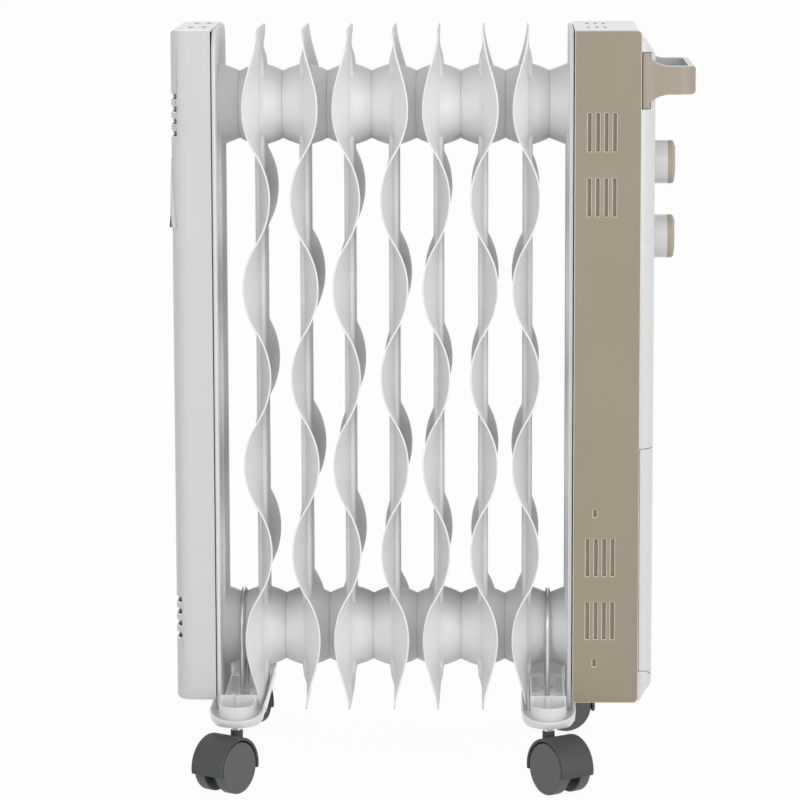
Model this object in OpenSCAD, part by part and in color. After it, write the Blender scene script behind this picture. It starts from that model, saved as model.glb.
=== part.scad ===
// Oil filled radiator heater: nine pressed steel sections on two welded headers, an end cover, a control
// housing with a loop handle and two knobs, and two foot brackets on swivel casters.
// X runs along the row of fins with the controls at +X, Y is front to back and Z is up.
// The floor is at Z = 0 and the origin is under the middle of the whole heater.

/* [Fins] */
// Distance between neighbouring fins
fin_pitch = 36; // [32:0.5:42]
// Number of wavy fins between the two flat end fins
fin_count = 7; // [5:2:7]
// Depth of a fin, front edge to back edge
fin_depth = 122; // [110:1:150]
// Distance between the axes of the two headers
header_span = 431; // [340:1:520]
// Height of a fin above the upper header's axis
fin_above = 63; // [52:1:80]
// Height of a fin below the lower header's axis
fin_below = 58; // [52:1:75]
// Number of half waves between the headers
half_waves = 6; // [4:2:8]
// Sideways reach of the wave at a fin's edge, on the side it has at the headers
wave_reach = 12; // [6:0.1:13]
// Sideways reach of the wave on the other side
wave_return = 9.6; // [6:0.1:13]
// Thickness of a fin's two welded sheets
fin_sheet = 1.6; // [1.2:0.1:2.4]
// Radius of a fin's upper corners
fin_top_r = 18; // [6:1:24]
// Radius of a fin's lower corners
fin_low_r = 6; // [5.5:0.5:20]
// Depth of the oil channel up the middle of a fin
stem_depth = 50; // [36:1:56]
// Thickness of that oil channel
stem_thick = 8; // [6:0.5:12]
// Wall of the pressed channels and headers
vessel_wall = 1.2; // [0.8:0.1:2]
// Distance from the last wavy fin to the flat end fin
end_gap = 34.5; // [32:0.5:40]
// Thickness of an end fin's folded hem
hem_thick = 3; // [2.4:0.1:5]
// How far an end fin's oil channel stands inwards
end_stem = 2; // [1.6:0.1:5]

/* [Headers] */
// Header radius in the plane of a fin
hub_r = 34; // [30:0.5:38]
// Header radius at the weld between two fins
weld_r = 27.3; // [22:0.1:29]
// Diameter of the tubular heating element
element_d = 8; // [6:0.5:10]
// Bend radius of the heating element
element_bend_r = 12; // [9:0.5:15]
// Diameter of the element's screwed flange
element_flange_d = 56; // [50:1:60]

/* [End cover] */
// Width of the end cover along the row of fins
cover_width = 32.4; // [26:0.2:44]
// Depth of the end cover
cover_depth = 130; // [126:1:160]
// Wall of the plastic covers
cover_wall = 2.2; // [1.6:0.1:3]
// Plan radius of the end cover's outer edges
cover_edge_r = 14; // [6:0.5:18]
// Height of the covers' lower edges above the fins' lower edges
cover_lift = 9.6; // [7:0.2:20]
// Width of the recessed grip in the end cover
grip_width = 96; // [60:1:100]
// Height of the recessed grip
grip_h = 87; // [70:1:110]
// Depth of the recessed grip
grip_deep = 15; // [12:0.5:20]

/* [Control housing] */
// Width of the side panels along the row of fins
housing_width = 53.4; // [44:0.2:70]
// Depth of the housing over its side panels
housing_depth = 134; // [130:1:160]
// Thickness of a side panel
panel_thick = 2.5; // [2:0.1:4]
// How far the front stands out beyond the side panels
front_bulge = 11.4; // [9:0.2:18]
// Plan radius of the front's edges
front_edge_r = 16; // [12:0.5:20]
// Height of the cord door's upper edge above the floor
door_top = 269.6; // [200:0.2:320]
// Width of a vent slot
slot_w = 3; // [2:0.1:4]
// Height of a vent slot
slot_h = 30.5; // [20:0.5:40]
// Distance between vent slots
slot_pitch = 6.7; // [5:0.1:8]

/* [Handle and knobs] */
// How far the handle stands out from the front
handle_reach = 32; // [24:0.5:44]
// Height of the handle's bar
handle_bar_h = 22.2; // [16:0.2:30]
// Height of the handle at its roots
handle_root_h = 44.4; // [36:0.4:60]
// Distance from the handle's sides to the sides of the front
handle_inset = 4.2; // [3:0.2:16]
// Width of the handle's bar
handle_bar_w = 10; // [7:0.5:14]
// Diameter of a control knob
knob_d = 35; // [26:0.5:42]
// Length of a knob's skirt
skirt_len = 11.6; // [8:0.2:16]
// Length of a knob's cap
cap_len = 6; // [4:0.2:9]
// Distance between the two knobs
knob_spacing = 60.4; // [48:0.2:80]
// Diameter of a knob's shaft
shaft_d = 6; // [4:0.5:8]

/* [Feet] */
// Height of a foot's underside above the floor
foot_height = 52; // [50:0.5:70]
// Width of a foot
foot_width = 44; // [40:0.5:50]
// Length of a foot, front to back
foot_length = 244; // [220:1:280]
// Wall of a foot
foot_wall = 1.5; // [1.2:0.1:3]
// Height of a foot's side walls
foot_rim_h = 12; // [11:0.5:14]
// Height of a foot's rim at its nose
foot_nose_h = 5.5; // [4.5:0.5:9]
// How far a foot's underside is drawn in under its rim
foot_tuck = 3.8; // [2:0.2:6]
// Height of the collar round a caster's stem
foot_collar_h = 16; // [14:0.5:20]
// Distance from a foot's end to the caster's stem
stem_inset = 19; // [16:0.5:26]
// Rod diameter of a U-bolt
u_bolt_d = 4; // [3:0.5:6]

/* [Casters] */
// Diameter of a caster's wheel
wheel_d = 42; // [34:0.5:43]
// Width of one wheel
wheel_w = 10; // [8:0.5:12]
// Gap between the two wheels of a caster
wheel_gap = 10.8; // [8:0.2:14]
// Distance from the stem's axis to the axle
caster_trail = 15.5; // [10:0.5:20]
// Diameter of a caster's stem
stem_d = 8; // [5:0.5:9]
// Diameter of a caster's axle
axle_d = 4; // [3:0.5:6]

/* [Hidden] */
$fn = 48;
run_fit = 0.05;      // radial clearance of shafts, axles and hinge pins in their bores
seat_gap = 0.4;      // gap between neighbouring covers
loose_fit = 0.3;     // clearance round pieces that are only located

// Heights
fin_z0 = foot_height + foot_wall;
hub_lo = fin_z0 + fin_below;
hub_hi = hub_lo + header_span;
fin_z1 = hub_hi + fin_above;
cover_z0 = fin_z0 + cover_lift;
cover_z1 = fin_z1 + seat_gap;

// Places along the row, measured from the middle fin and then moved so that the origin is central
half_row = (fin_count - 1) / 2 * fin_pitch;
end_x = half_row + end_gap;
plate_x = end_x + hem_thick / 2;
house_x0 = plate_x + seat_gap;
house_x1 = house_x0 + housing_width;
front_x = house_x1 + front_bulge;
handle_x = front_x + handle_reach;
cover_x = plate_x + seat_gap + cover_width;
lip_reach = 1.6;
middle_x = (cover_x + lip_reach - handle_x) / 2;
valley_x = half_row + end_gap / 2;

// Wave of a fin's edge: arcs that meet with one tangent, and a longer tail beyond each header
half_wave = header_span / half_waves;
wave_half = (wave_reach + wave_return) / 2;
wave_mid = wave_reach - wave_half;
wave_r = (half_wave * half_wave / 4 + wave_half * wave_half) / (2 * wave_half);
tail_len = 64;
arc_steps = 6;
tail_steps = 6;
corner_steps = 5;

// Control housing
house_y = housing_depth / 2;
inner_y = house_y - panel_thick - loose_fit;
front_top = cover_z1 - 8;
front_tuck = 12;     // how far the front reaches in behind the side panels
hinge_slot_in = 14;  // how far the slots for the door's arms reach in behind the hinge
shoulder_r = 17;
hinge_x = front_x - 8;
hinge_z = cover_z0 + 16;
hinge_r = 8;
hinge_pin_d = 4;
hinge_arm_y = 45;
hinge_arm_w = 5;
arm_w = 5;
arm_h = 17;
door_gap = 0.4;
handle_z = cover_z1 - 40.4;
handle_y = inner_y - handle_inset;
handle_gap = 2 * (handle_y - handle_bar_w);
handle_root_y = handle_y + 3.2;
knob_hi_z = handle_z - 69.8;
knob_lo_z = knob_hi_z - knob_spacing;
tray_x = house_x0 + 20;
tray_inset = 6;
panel_corner = 4;
panel_back = 0.5;    // how far the side panels stand back from the housing's inner end
tray_z0 = hinge_z + hinge_r + 4;
tray_z1 = door_top - 5;
slot_mid_x = house_x0 + 22.2;
key_x = slot_mid_x - 4.3;
key_z = [cover_z0 + 155, cover_z0 + 32];
edge_vent_pitch = 9.8;
edge_vent_h = 4.3;
edge_vent_len = 30;
edge_vent_in = 5;    // how far the edge slots reach into the cover's front and back
end_vent_z = [cover_z1 - 82.5, cover_z0 + 52.5];
top_vent_y = [-14, 45];
frame_vent_x = [12, 18.7, 25.4];
frame_vent_len = 20;
frame_drop = 0.6;    // how far the housing's top lies below the end cover's
frame_window_w = 44;
frame_window_h = 40;
frame_window_z = [tray_z1 + frame_window_h, front_top - 90];
grip_z = cover_z1 - 188;
grip_open = 30;      // height of the mouth below the lip
grip_slope = 14;     // height over which the scoop runs out
lip_foot_y = cover_depth / 2 - 4.2;   // half width of the lip at its lower edge
lip_head_y = cover_depth / 2 - 9.3;   // and at its upper edge
screw_d = 4;
screw_head_d = 9;
screw_head_h = 2.4;
post_d = 13;
skin_x = plate_x - hem_thick + vessel_wall;
cover_screw_z = [cover_z0 + 8, cover_z1 - 16];
housing_screw_z = [cover_z0 + 100, cover_z1 - 60];
housing_screw_y = [-50, 50];
cutout_y = 20.2 - inner_y;
cutout_room = 10;    // room round the cut-out in the housing's inner wall
cutout_z = hub_lo + 8;
gland_x = house_x0 + 20;
gland_y = inner_y - 18.2;
gland_d = 12;
handle_skin = 2.2;
handle_root = 1.4;
handle_corner_r = 14;
band_end_r = 3;
root_pad = 6.3;      // how far the pads under the handle's ends reach along the front
pad_sink = 1;        // how deep they lie below the handle's skin
band_flare_r = 26;   // fillets where the handle's band flares into its roots, from the side
plan_flare_r = 16;   // and from above
handle_flange = 5;   // how far a root's flange reaches behind the front, and past the root
slot_group_pitch = 51.9;
slot_group_hi = cover_z1 - 80.9;
slot_group_lo = cover_z0 + 66.8;
slot_groups = [slot_group_hi, slot_group_hi - slot_group_pitch, slot_group_lo + slot_group_pitch, slot_group_lo];

// Feet
foot_end_r = foot_width / 2;
foot_belly_h = 4;
foot_low_rim = cover_z0 - 1.6 - foot_height;   // where the housing and cover pass over a foot
foot_clear_y = housing_depth / 2 + 2;
rail_x = end_gap / 2 - fin_sheet / 2 - wave_reach / 8 - 0.4;   // the two rails lie between the fins' edges
rail_w = 2;
pivot_y = foot_length / 2 - stem_inset;
leg_y = weld_r + 1 + u_bolt_d / 2;
nut_h = 5;
thread_len = 10;

// Casters: where each stands and which way it trails, in degrees from +X
caster_names = ["front_left", "front_right", "back_left", "back_right"];
caster_sides = [[-1, -1], [1, -1], [-1, 1], [1, 1]];
caster_turns = [-124, -54, 124, 10];
hood_gap = 1;
hood_wall = 2.6;
hood_r = wheel_d / 2 + hood_gap + hood_wall;
web_w = 6;
hood_w = wheel_gap + 2 * wheel_w;
neck_r = stem_d / 2 + 1;
spacer_len = (wheel_gap - web_w) / 2 - 0.2;
neck_top = foot_height - 4.5;

fin_nodes = [for (i = [1:fin_count]) str("fin_", i)];
caster_nodes = [for (n = caster_names) each [str("hood_", n), str("pins_", n), str("wheel_a_", n), str("wheel_b_", n)]];

white = "whitesmoke";
taupe = "#a09482";
grey = "#55585a";
steel = "silver";

// ---- helpers ----

module at_row() { translate([middle_x, 0, 0]) children(); }
module along_x() { rotate([90, 0, 90]) children(); }

// rectangle with four round corners, centred
module round_rect(w, h, r) {
    square([w, h - 2 * r], center = true);
    square([w - 2 * r, h], center = true);
    for (x = [-1, 1], y = [-1, 1]) translate([x * (w / 2 - r), y * (h / 2 - r)]) circle(r);
}

// rectangle from x = 0 to x = w whose far corners are round
module half_round_rect(w, h, r_lo, r_hi) {
    difference() {
        square([w, h]);
        translate([w - r_lo, 0]) square([r_lo, r_lo]);
        translate([w - r_hi, h - r_hi]) square([r_hi, r_hi]);
    }
    translate([w - r_lo, r_lo]) circle(r_lo);
    translate([w - r_hi, h - r_hi]) circle(r_hi);
}

// body from x = 0 to x = w, round in plan and round at its top and bottom outer edges
module bow_box(w, depth, z0, z1, plan_r, bottom_r, top_r) {
    intersection() {
        translate([0, -depth / 2, z0]) linear_extrude(z1 - z0) half_round_rect(w, depth, plan_r, plan_r);
        translate([0, depth / 2, z0]) rotate([90, 0, 0]) linear_extrude(depth)
            half_round_rect(w, z1 - z0, bottom_r, top_r);
    }
}

// rod of diameter d along Y between two places
module y_rod(x, z, d, y0, y1) {
    translate([x, y0, z]) rotate([-90, 0, 0]) cylinder(d = d, h = y1 - y0);
}

// rod of diameter d along X
module x_rod(x0, x1, y, z, d) {
    translate([x0, y, z]) rotate([0, 90, 0]) cylinder(d = d, h = x1 - x0);
}

// ---- fins ----

// sideways place of the edge at height z above the lower header, for a fin that starts with +1 or -1
function arc_drop(r, s) = r - sqrt(r * r - s * s);
function arc(z, k) = (k % 2 == 0 ? 1 : -1) * (wave_half - arc_drop(wave_r, z - k * half_wave));
function tail(d) = d < tail_len ? (1 + cos(180 * d / tail_len)) / 2 : 0;
function wave(z) = z < 0 ? wave_reach * tail(-z)
    : z > header_span ? (half_waves % 2 == 0 ? wave_reach : -wave_return) * tail(z - header_span)
    : wave_mid + arc(z, round(z / half_wave));

// how far a rounded corner draws the edge back at a distance from the fin's end
function corner_back(d, r) = d >= r ? 0 : r - sqrt(r * r - pow(r - d, 2));

function corner_rows(r) = [for (i = [0:corner_steps]) r * (1 - cos(90 * i / corner_steps))];
function tail_rows(len) = [for (i = [1:tail_steps - 1]) len * i / tail_steps];
low_rows = [for (z = corner_rows(fin_low_r)) z - fin_below];
high_rows = [for (z = corner_rows(fin_top_r)) header_span + fin_above - z];
low_tail = [for (z = tail_rows(fin_below - fin_low_r)) -z];
high_tail = [for (z = tail_rows(fin_above - fin_top_r)) header_span + z];
wave_rows = [for (i = [0:half_waves * arc_steps]) i * half_wave / arc_steps];
rows = concat(low_rows, [for (i = [len(low_tail) - 1:-1:0]) low_tail[i]], wave_rows, high_tail,
    [for (i = [corner_steps:-1:0]) high_rows[i]]);

// one flange: a sheet ruled from the straight oil channel to the wavy edge
module flange(dir, side) {
    n = len(rows);
    points = [for (z = rows)
        let (y_out = fin_depth / 2 - corner_back(z + fin_below, fin_low_r)
                - corner_back(header_span + fin_above - z, fin_top_r),
            x_out = dir * wave(z))
        each [[-fin_sheet / 2, side * (stem_depth / 2 - 1), z], [fin_sheet / 2, side * (stem_depth / 2 - 1), z],
            [x_out + fin_sheet / 2, side * y_out, z], [x_out - fin_sheet / 2, side * y_out, z]]];
    walls = [for (i = [0:n - 2], j = [0:3])
        let (a = 4 * i + j, b = 4 * i + (j + 1) % 4)
        each (side > 0 ? [[a, a + 4, b], [b, a + 4, b + 4]] : [[a, b, a + 4], [b, b + 4, a + 4]])];
    first = side > 0 ? [[0, 1, 2], [0, 2, 3]] : [[0, 2, 1], [0, 3, 2]];
    m = 4 * (n - 1);
    last = side > 0 ? [[m, m + 2, m + 1], [m, m + 3, m + 2]] : [[m, m + 1, m + 2], [m, m + 2, m + 3]];
    polyhedron(points = points, faces = concat(first, walls, last));
}

// conical half of a header between a fin and the next weld, towards +X
module hub_half(length, grow) {
    rotate([0, 90, 0]) cylinder(h = length, r1 = hub_r + grow, r2 = weld_r + grow);
}

module hubs(left, right, grow) {
    for (z = [hub_lo, hub_hi]) translate([0, 0, z]) {
        if (right > 0) hub_half(right, grow);
        if (left > 0) mirror([1, 0, 0]) hub_half(left, grow);
    }
}

module oil_channel(thick, depth) {
    translate([-thick / 2, -depth / 2, hub_lo]) cube([thick, depth, header_span]);
}

module wavy_fin(i) {
    dir = i % 2 == 1 ? -1 : 1;
    left = i == 1 ? end_gap / 2 : fin_pitch / 2;
    right = i == fin_count ? end_gap / 2 : fin_pitch / 2;
    color(white) at_row() translate([(i - (fin_count + 1) / 2) * fin_pitch, 0, 0]) difference() {
        union() {
            for (side = [-1, 1]) translate([0, 0, hub_lo]) flange(dir, side);
            translate([-fin_sheet / 2, -stem_depth / 2, fin_z0]) cube([fin_sheet, stem_depth, fin_z1 - fin_z0]);
            oil_channel(stem_thick, stem_depth);
            hubs(left, right, 0);
        }
        hubs(left + 1, right + 1, -vessel_wall);
        oil_channel(stem_thick - 2 * vessel_wall, stem_depth - 2 * vessel_wall);
    }
}

// outline of a fin whose lower edge is at y = 0, drawn in by one margin all round
module fin_outline(margin) {
    w = fin_depth - 2 * margin;
    top = fin_z1 - fin_z0 - margin;
    lo = max(fin_low_r - margin, 0.5);
    hi = fin_top_r - margin;
    translate([-w / 2, margin + lo]) square([w, top - hi - margin - lo]);
    translate([lo - w / 2, margin]) square([w - 2 * lo, fin_top_r]);
    translate([hi - w / 2, top - fin_top_r - 1]) square([w - 2 * hi, fin_top_r + 1]);
    for (side = [-1, 1]) {
        translate([side * (w / 2 - lo), margin + lo]) circle(lo);
        translate([side * (w / 2 - hi), top - hi]) circle(hi);
    }
}

// flat end fin whose hem is folded outwards; the heater's end faces +X
module end_fin(bore_d, bore_z) {
    skin = vessel_wall;
    inner = -hem_thick / 2;
    hem = 5;
    color(white) translate([end_x, 0, 0]) difference() {
        union() {
            translate([inner, 0, fin_z0]) along_x() linear_extrude(hem_thick) fin_outline(0);
            translate([inner + (skin - end_stem) / 2, 0, 0]) oil_channel(end_stem + skin, stem_depth);
            hubs(end_gap / 2, 0, 0);
        }
        translate([inner + skin, 0, fin_z0]) along_x() linear_extrude(hem_thick) difference() {
            fin_outline(hem);
            for (z = [hub_lo, hub_hi]) translate([0, z - fin_z0]) circle(weld_r + 4);
        }
        difference() {
            hubs(end_gap / 2 + 1, 0, -vessel_wall);
            translate([inner, -fin_depth, 0]) cube([hem_thick, 2 * fin_depth, 2 * fin_z1]);
        }
        translate([inner - (end_stem - skin) / 2, 0, 0]) oil_channel(end_stem - skin, stem_depth - 2 * vessel_wall);
        translate([-hem_thick, 0, bore_z]) rotate([0, 90, 0]) cylinder(d = bore_d, h = 2 * hem_thick);
    }
}

// ---- inside the headers ----

element_bore_d = 2 * element_bend_r + element_d + 4;
plug_d = 14;

module heating_element() {
    x0 = -half_row;
    color(steel) at_row() {
        for (y = [-1, 1]) x_rod(x0, plate_x + 12, y * element_bend_r, hub_lo, element_d);
        translate([x0, 0, hub_lo]) rotate([0, 0, 90]) rotate_extrude(angle = 180)
            translate([element_bend_r, 0]) circle(d = element_d);
    }
}

module element_flange() {
    color(steel) at_row() difference() {
        union() {
            x_rod(plate_x, plate_x + 4, 0, hub_lo, element_flange_d);
            x_rod(plate_x - hem_thick, plate_x, 0, hub_lo, element_bore_d - loose_fit);
            for (a = [45:90:315])
                x_rod(plate_x + 4, plate_x + 7, 22 * cos(a), hub_lo + 22 * sin(a), 6);
        }
        for (y = [-1, 1]) x_rod(plate_x - 2 * hem_thick, plate_x + 8, y * element_bend_r, hub_lo, element_d);
    }
}

module oil_plug() {
    color(steel) at_row() mirror([1, 0, 0]) {
        x_rod(plate_x - hem_thick - 2, plate_x, 0, hub_hi, plug_d);
        x_rod(plate_x, plate_x + 5, 0, hub_hi, plug_d + 8);
    }
}

// ---- end cover ----

// slots that wrap the end cover's two outer edges
module end_vents() {
    for (z = end_vent_z, k = [0:3], side = [-1, 1])
        translate([cover_width, side * (cover_depth / 2 - edge_vent_len / 2), z + k * edge_vent_pitch])
            cube([2 * edge_vent_in, edge_vent_len, edge_vent_h], center = true);
}

// two rows of slots in a cover's top, each slot running front to back
module top_vents(xs, w, len) {
    for (x = xs, y = top_vent_y)
        translate([x - w / 2, y - len / 2, cover_z1 - 2 * cover_wall]) cube([w, len, 4 * cover_wall]);
}

// the parts of the end cover are drawn with its open side at x = 0, opening towards -X
module at_cover() { at_row() mirror([1, 0, 0]) translate([plate_x + seat_gap, 0, 0]) children(); }

module end_cover() {
    w = cover_wall;
    color(white) at_cover() difference() {
        union() {
            difference() {
                bow_box(cover_width, cover_depth, cover_z0, cover_z1, cover_edge_r, 4, 4);
                translate([-w, 0, 0])
                    bow_box(cover_width, cover_depth - 2 * w, cover_z0 + w, cover_z1 - w, cover_edge_r - w, 2, 2);
            }
            for (z = cover_screw_z) x_rod(0, cover_width - 1, 0, z, post_d);
        }
        end_vents();
        top_vents([8.6, 19], 3.8, 24);
        translate([cover_width - 2 * w, -grip_width / 2, grip_z]) cube([3 * w, grip_width, grip_h]);
        lip_plan(cover_width - cover_edge_r + 1, cover_width + w, 0);
        for (z = cover_screw_z) {
            x_rod(-1, cover_width + 1, 0, z, screw_d + 2 * loose_fit);
            x_rod(cover_width - screw_head_h - 1, cover_width + 1, 0, z, screw_head_d + 2 * loose_fit);
        }
    }
}

// the lip's outline over the end cover, wider at its foot, from one X to another and drawn in by a gap
module lip_plan(x0, x1, gap) {
    translate([x0, 0, 0]) along_x() linear_extrude(x1 - x0) polygon([
        [-lip_foot_y + 3 * gap, grip_z + grip_open], [lip_foot_y - 3 * gap, grip_z + grip_open],
        [lip_head_y - gap, grip_z + grip_h - gap], [-lip_head_y + gap, grip_z + grip_h - gap]]);
}

// scoop in the end cover, and over its upper part the lip that fingers pull on
module cover_grip() {
    w = cover_wall;
    c = cover_width;
    slack = loose_fit;
    color(white) at_cover() {
        translate([0, 0, grip_z]) difference() {
            translate([0, grip_width / 2 - slack, 0]) rotate([90, 0, 0]) linear_extrude(grip_width - 2 * slack)
                polygon([[c - grip_deep, grip_slope], [c - w, slack], [c, slack], [c, grip_open],
                    [c + lip_reach, grip_open], [c, grip_h - slack], [c - w, grip_h - slack],
                    [c - grip_deep, grip_h - grip_slope]]);
            translate([0, grip_width / 2 - slack - w, 0]) rotate([90, 0, 0])
                linear_extrude(grip_width - 2 * slack - 2 * w)
                    polygon([[c - grip_deep + w, grip_slope], [c, w + slack], [c + 1, w], [c + lip_reach + 1, w],
                        [c + lip_reach + 1, grip_open - slack], [c + lip_reach - w, grip_open - slack],
                        [c - w, grip_h - 2 * w], [c - grip_deep + w, grip_h - grip_slope - w]]);
        }
        difference() {
            intersection() {
                bow_box(c + lip_reach, cover_depth + lip_reach, cover_z0, cover_z1, cover_edge_r, 4, 4);
                lip_plan(0, c + lip_reach + 1, slack);
                translate([0, cover_depth, grip_z]) rotate([90, 0, 0]) linear_extrude(2 * cover_depth)
                    polygon([[0, grip_open], [c + lip_reach, grip_open], [c, grip_h], [0, grip_h]]);
            }
            translate([-w, 0, 0])
                bow_box(c, cover_depth - 2 * w, cover_z0 + w, cover_z1 - w, cover_edge_r - w, 2, 2);
            translate([0, -grip_width / 2 + w, cover_z0]) cube([c - w, grip_width - 2 * w, cover_z1]);
        }
    }
}

// screw with a cap head, its tip at x = 0
module screw(len, head_d, head_h) {
    x_rod(0, len, 0, 0, screw_d);
    x_rod(len - head_h, len, 0, 0, head_d);
}

module cover_screws() {
    color(steel) at_row() mirror([1, 0, 0]) for (z = cover_screw_z)
        translate([skin_x, 0, z]) screw(cover_x - 0.6 - skin_x, screw_head_d, screw_head_h);
}

// ---- control housing ----

module side_outline() {
    z0 = cover_z0 - 1;
    h = cover_z1 - frame_drop + 0.2 - z0;
    r = panel_corner;
    translate([house_x0 + panel_back, z0]) half_round_rect(housing_width - panel_back, h, r, r);
}

// slots in four groups, and a small key hole under two of them
module panel_slots() {
    for (z = slot_groups, k = [-1.5:1.5])
        translate([slot_mid_x + k * slot_pitch - slot_w / 2, z - slot_h / 2]) square([slot_w, slot_h]);
    for (z = key_z) translate([key_x - slot_w / 2, z - slot_w]) square([slot_w, 2 * slot_w]);
}

module side_panel() {
    color(taupe) at_row() translate([0, -house_y + panel_thick, 0]) rotate([90, 0, 0])
        linear_extrude(panel_thick) difference() {
            side_outline();
            panel_slots();
        }
}

// inner wall, top and bottom of the housing in one piece
module housing_frame() {
    w = cover_wall;
    z0 = cover_z0 - seat_gap;
    z1 = cover_z1 - frame_drop;
    color(white) at_row() difference() {
        translate([house_x0 + seat_gap, inner_y, z0]) rotate([90, 0, 0]) linear_extrude(2 * inner_y) difference() {
            half_round_rect(housing_width - seat_gap, z1 - z0, 4, 4);
            translate([w, w]) square([housing_width - seat_gap - 2 * w, z1 - z0 - 2 * w]);
            translate([w, w]) square([housing_width, front_top + seat_gap - z0 - w]);
        }
        translate([house_x0, 0, 0]) top_vents(frame_vent_x, 2.8, frame_vent_len);
        x_rod(house_x0 - 1, house_x0 + 2 * w, 0, hub_lo, element_flange_d + 6);
        translate([house_x0 - 1, cutout_y - cutout_room, cutout_z - cutout_room])
            cube([2 * w + 2, 3 * cutout_room, 2 * cutout_room]);
        for (z = frame_window_z) translate([house_x0 - 1, -frame_window_w / 2, z])
            cube([2 * w + 2, frame_window_w, frame_window_h]);
        for (z = housing_screw_z, y = housing_screw_y)
            x_rod(house_x0 - 1, house_x0 + 2 * w, y, z, screw_d + 2 * loose_fit);
        translate([gland_x, gland_y, z0 - 1]) cylinder(d = gland_d + loose_fit, h = 2 * w + 2);
    }
}

module housing_screws() {
    color(steel) at_row() for (z = housing_screw_z, y = housing_screw_y)
        translate([skin_x, y, z]) screw(house_x0 + seat_gap + cover_wall + 3 - skin_x, 8, 3);
}

// the front's solid outline and the same shape one wall smaller
module front_body(shrink) {
    x0 = house_x1 - front_tuck;
    translate([x0 - shrink * 4, 0, 0]) bow_box(front_x - x0 + shrink * 3, 2 * (inner_y - shrink), cover_z0,
        front_top - shrink, front_edge_r - shrink, 1, shoulder_r - shrink);
}

// room for the handle's two roots, following their flare
module handle_slots() {
    difference() {
        union() {
            handle_band(seat_gap);
            root_pads(seat_gap);
        }
        translate([house_x0, -handle_gap / 2 + seat_gap, 0]) cube([3 * housing_width, handle_gap - 2 * seat_gap, cover_z1]);
    }
}

module front_panel() {
    color(white) at_row() difference() {
        front_body(0);
        front_body(cover_wall);
        translate([house_x0, -house_y, 0]) cube([3 * housing_width, housing_depth, door_top + door_gap]);
        handle_slots();
        for (z = [knob_lo_z, knob_hi_z]) x_rod(house_x1, front_x + 1, 0, z, shaft_d + 2 * loose_fit);
    }
}

// cord store: a tray that opens towards the door, with a rim between the side panels
module cord_tray() {
    w = cover_wall;
    y = inner_y - tray_inset;
    h = tray_z1 - tray_z0;
    color(white) at_row() difference() {
        union() {
            translate([tray_x, -y, tray_z0]) cube([house_x1 - tray_x, 2 * y, h]);
            translate([house_x1 - w, -inner_y, tray_z0]) cube([w, 2 * inner_y, h]);
        }
        translate([tray_x + w, -y + w, tray_z0 + w]) cube([housing_width, 2 * (y - w), h - 2 * w]);
        translate([tray_x - 1, gland_y - 6, tray_z0 + 8]) cube([2 * w, 12, 12]);
    }
}

// room in the bottom cap for the door's two arms
module hinge_slots() {
    w = hinge_arm_w + 2 * loose_fit;
    for (side = [-1, 1]) translate([hinge_x - hinge_slot_in, side * hinge_arm_y - w / 2, hinge_z - hinge_pin_d - 1])
        cube([hinge_slot_in + 2 * hinge_r, w, 4 * hinge_r]);
}

module cord_door() {
    color(white) at_row() {
        difference() {
            front_body(0);
            front_body(cover_wall);
            translate([house_x0, -house_y, door_top]) cube([3 * housing_width, housing_depth, cover_z1]);
            translate([house_x0, -house_y, 0]) cube([3 * housing_width, housing_depth, hinge_z]);
            translate([house_x0, -house_y, 0]) cube([housing_width + door_gap, housing_depth, cover_z1]);
            translate([house_x0, -house_y, 0])
                cube([hinge_x - house_x0, housing_depth, hinge_z + hinge_r + door_gap]);
            y_rod(hinge_x, hinge_z, 2 * (hinge_r + door_gap), -house_y, house_y);
        }
        for (side = [-1, 1]) difference() {
            translate([0, side * hinge_arm_y + hinge_arm_w / 2, 0]) rotate([90, 0, 0]) linear_extrude(hinge_arm_w) {
                translate([hinge_x, hinge_z]) circle(hinge_pin_d);
                translate([house_x1 + door_gap, hinge_z]) square([arm_w, arm_h]);
                translate([house_x1 + door_gap, hinge_z + arm_h - arm_w])
                    square([front_x - house_x1 - door_gap - 1, arm_w]);
            }
            y_rod(hinge_x, hinge_z, hinge_pin_d + 2 * run_fit, -house_y, house_y);
        }
    }
}

module door_hinge_pin() {
    color(steel) at_row() y_rod(hinge_x, hinge_z, hinge_pin_d, -hinge_arm_y - 8, hinge_arm_y + 8);
}

// lower end of the front, drawn in under the door's hinge
module bottom_cap() {
    z0 = cover_z0 - 1;
    color(white) at_row() difference() {
        intersection() {
            front_body(0);
            translate([0, house_y, 0]) rotate([90, 0, 0]) linear_extrude(housing_depth) {
                polygon([[house_x1 - 10, z0], [house_x1 + 0.6, z0], [front_x, hinge_z], [hinge_x, hinge_z],
                    [hinge_x, hinge_z + hinge_r], [house_x1 - 10, hinge_z + hinge_r]]);
                translate([hinge_x, hinge_z]) circle(hinge_r);
            }
        }
        y_rod(hinge_x, hinge_z, hinge_pin_d, -hinge_arm_y - 8, hinge_arm_y + 8);
        hinge_slots();
        translate([house_x1 - 11, -house_y, 0]) cube([11 + door_gap, housing_depth, cover_z0 + cover_wall]);
    }
}

// ---- handle ----

// outline of a bar that flares towards its root with concave fillets; half is the bar's half width
module flared_bar(x0, x1, half, root_half, r) {
    flare = root_half - half;
    run = sqrt(r * r - pow(r - flare, 2));
    difference() {
        translate([x0, -root_half]) square([run + handle_root, 2 * root_half]);
        for (side = [-1, 1]) translate([x0 + run + handle_root, side * (half + r)]) circle(r, $fn = 96);
    }
    translate([x0, -half]) square([x1 - x0, 2 * half]);
}

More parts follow.
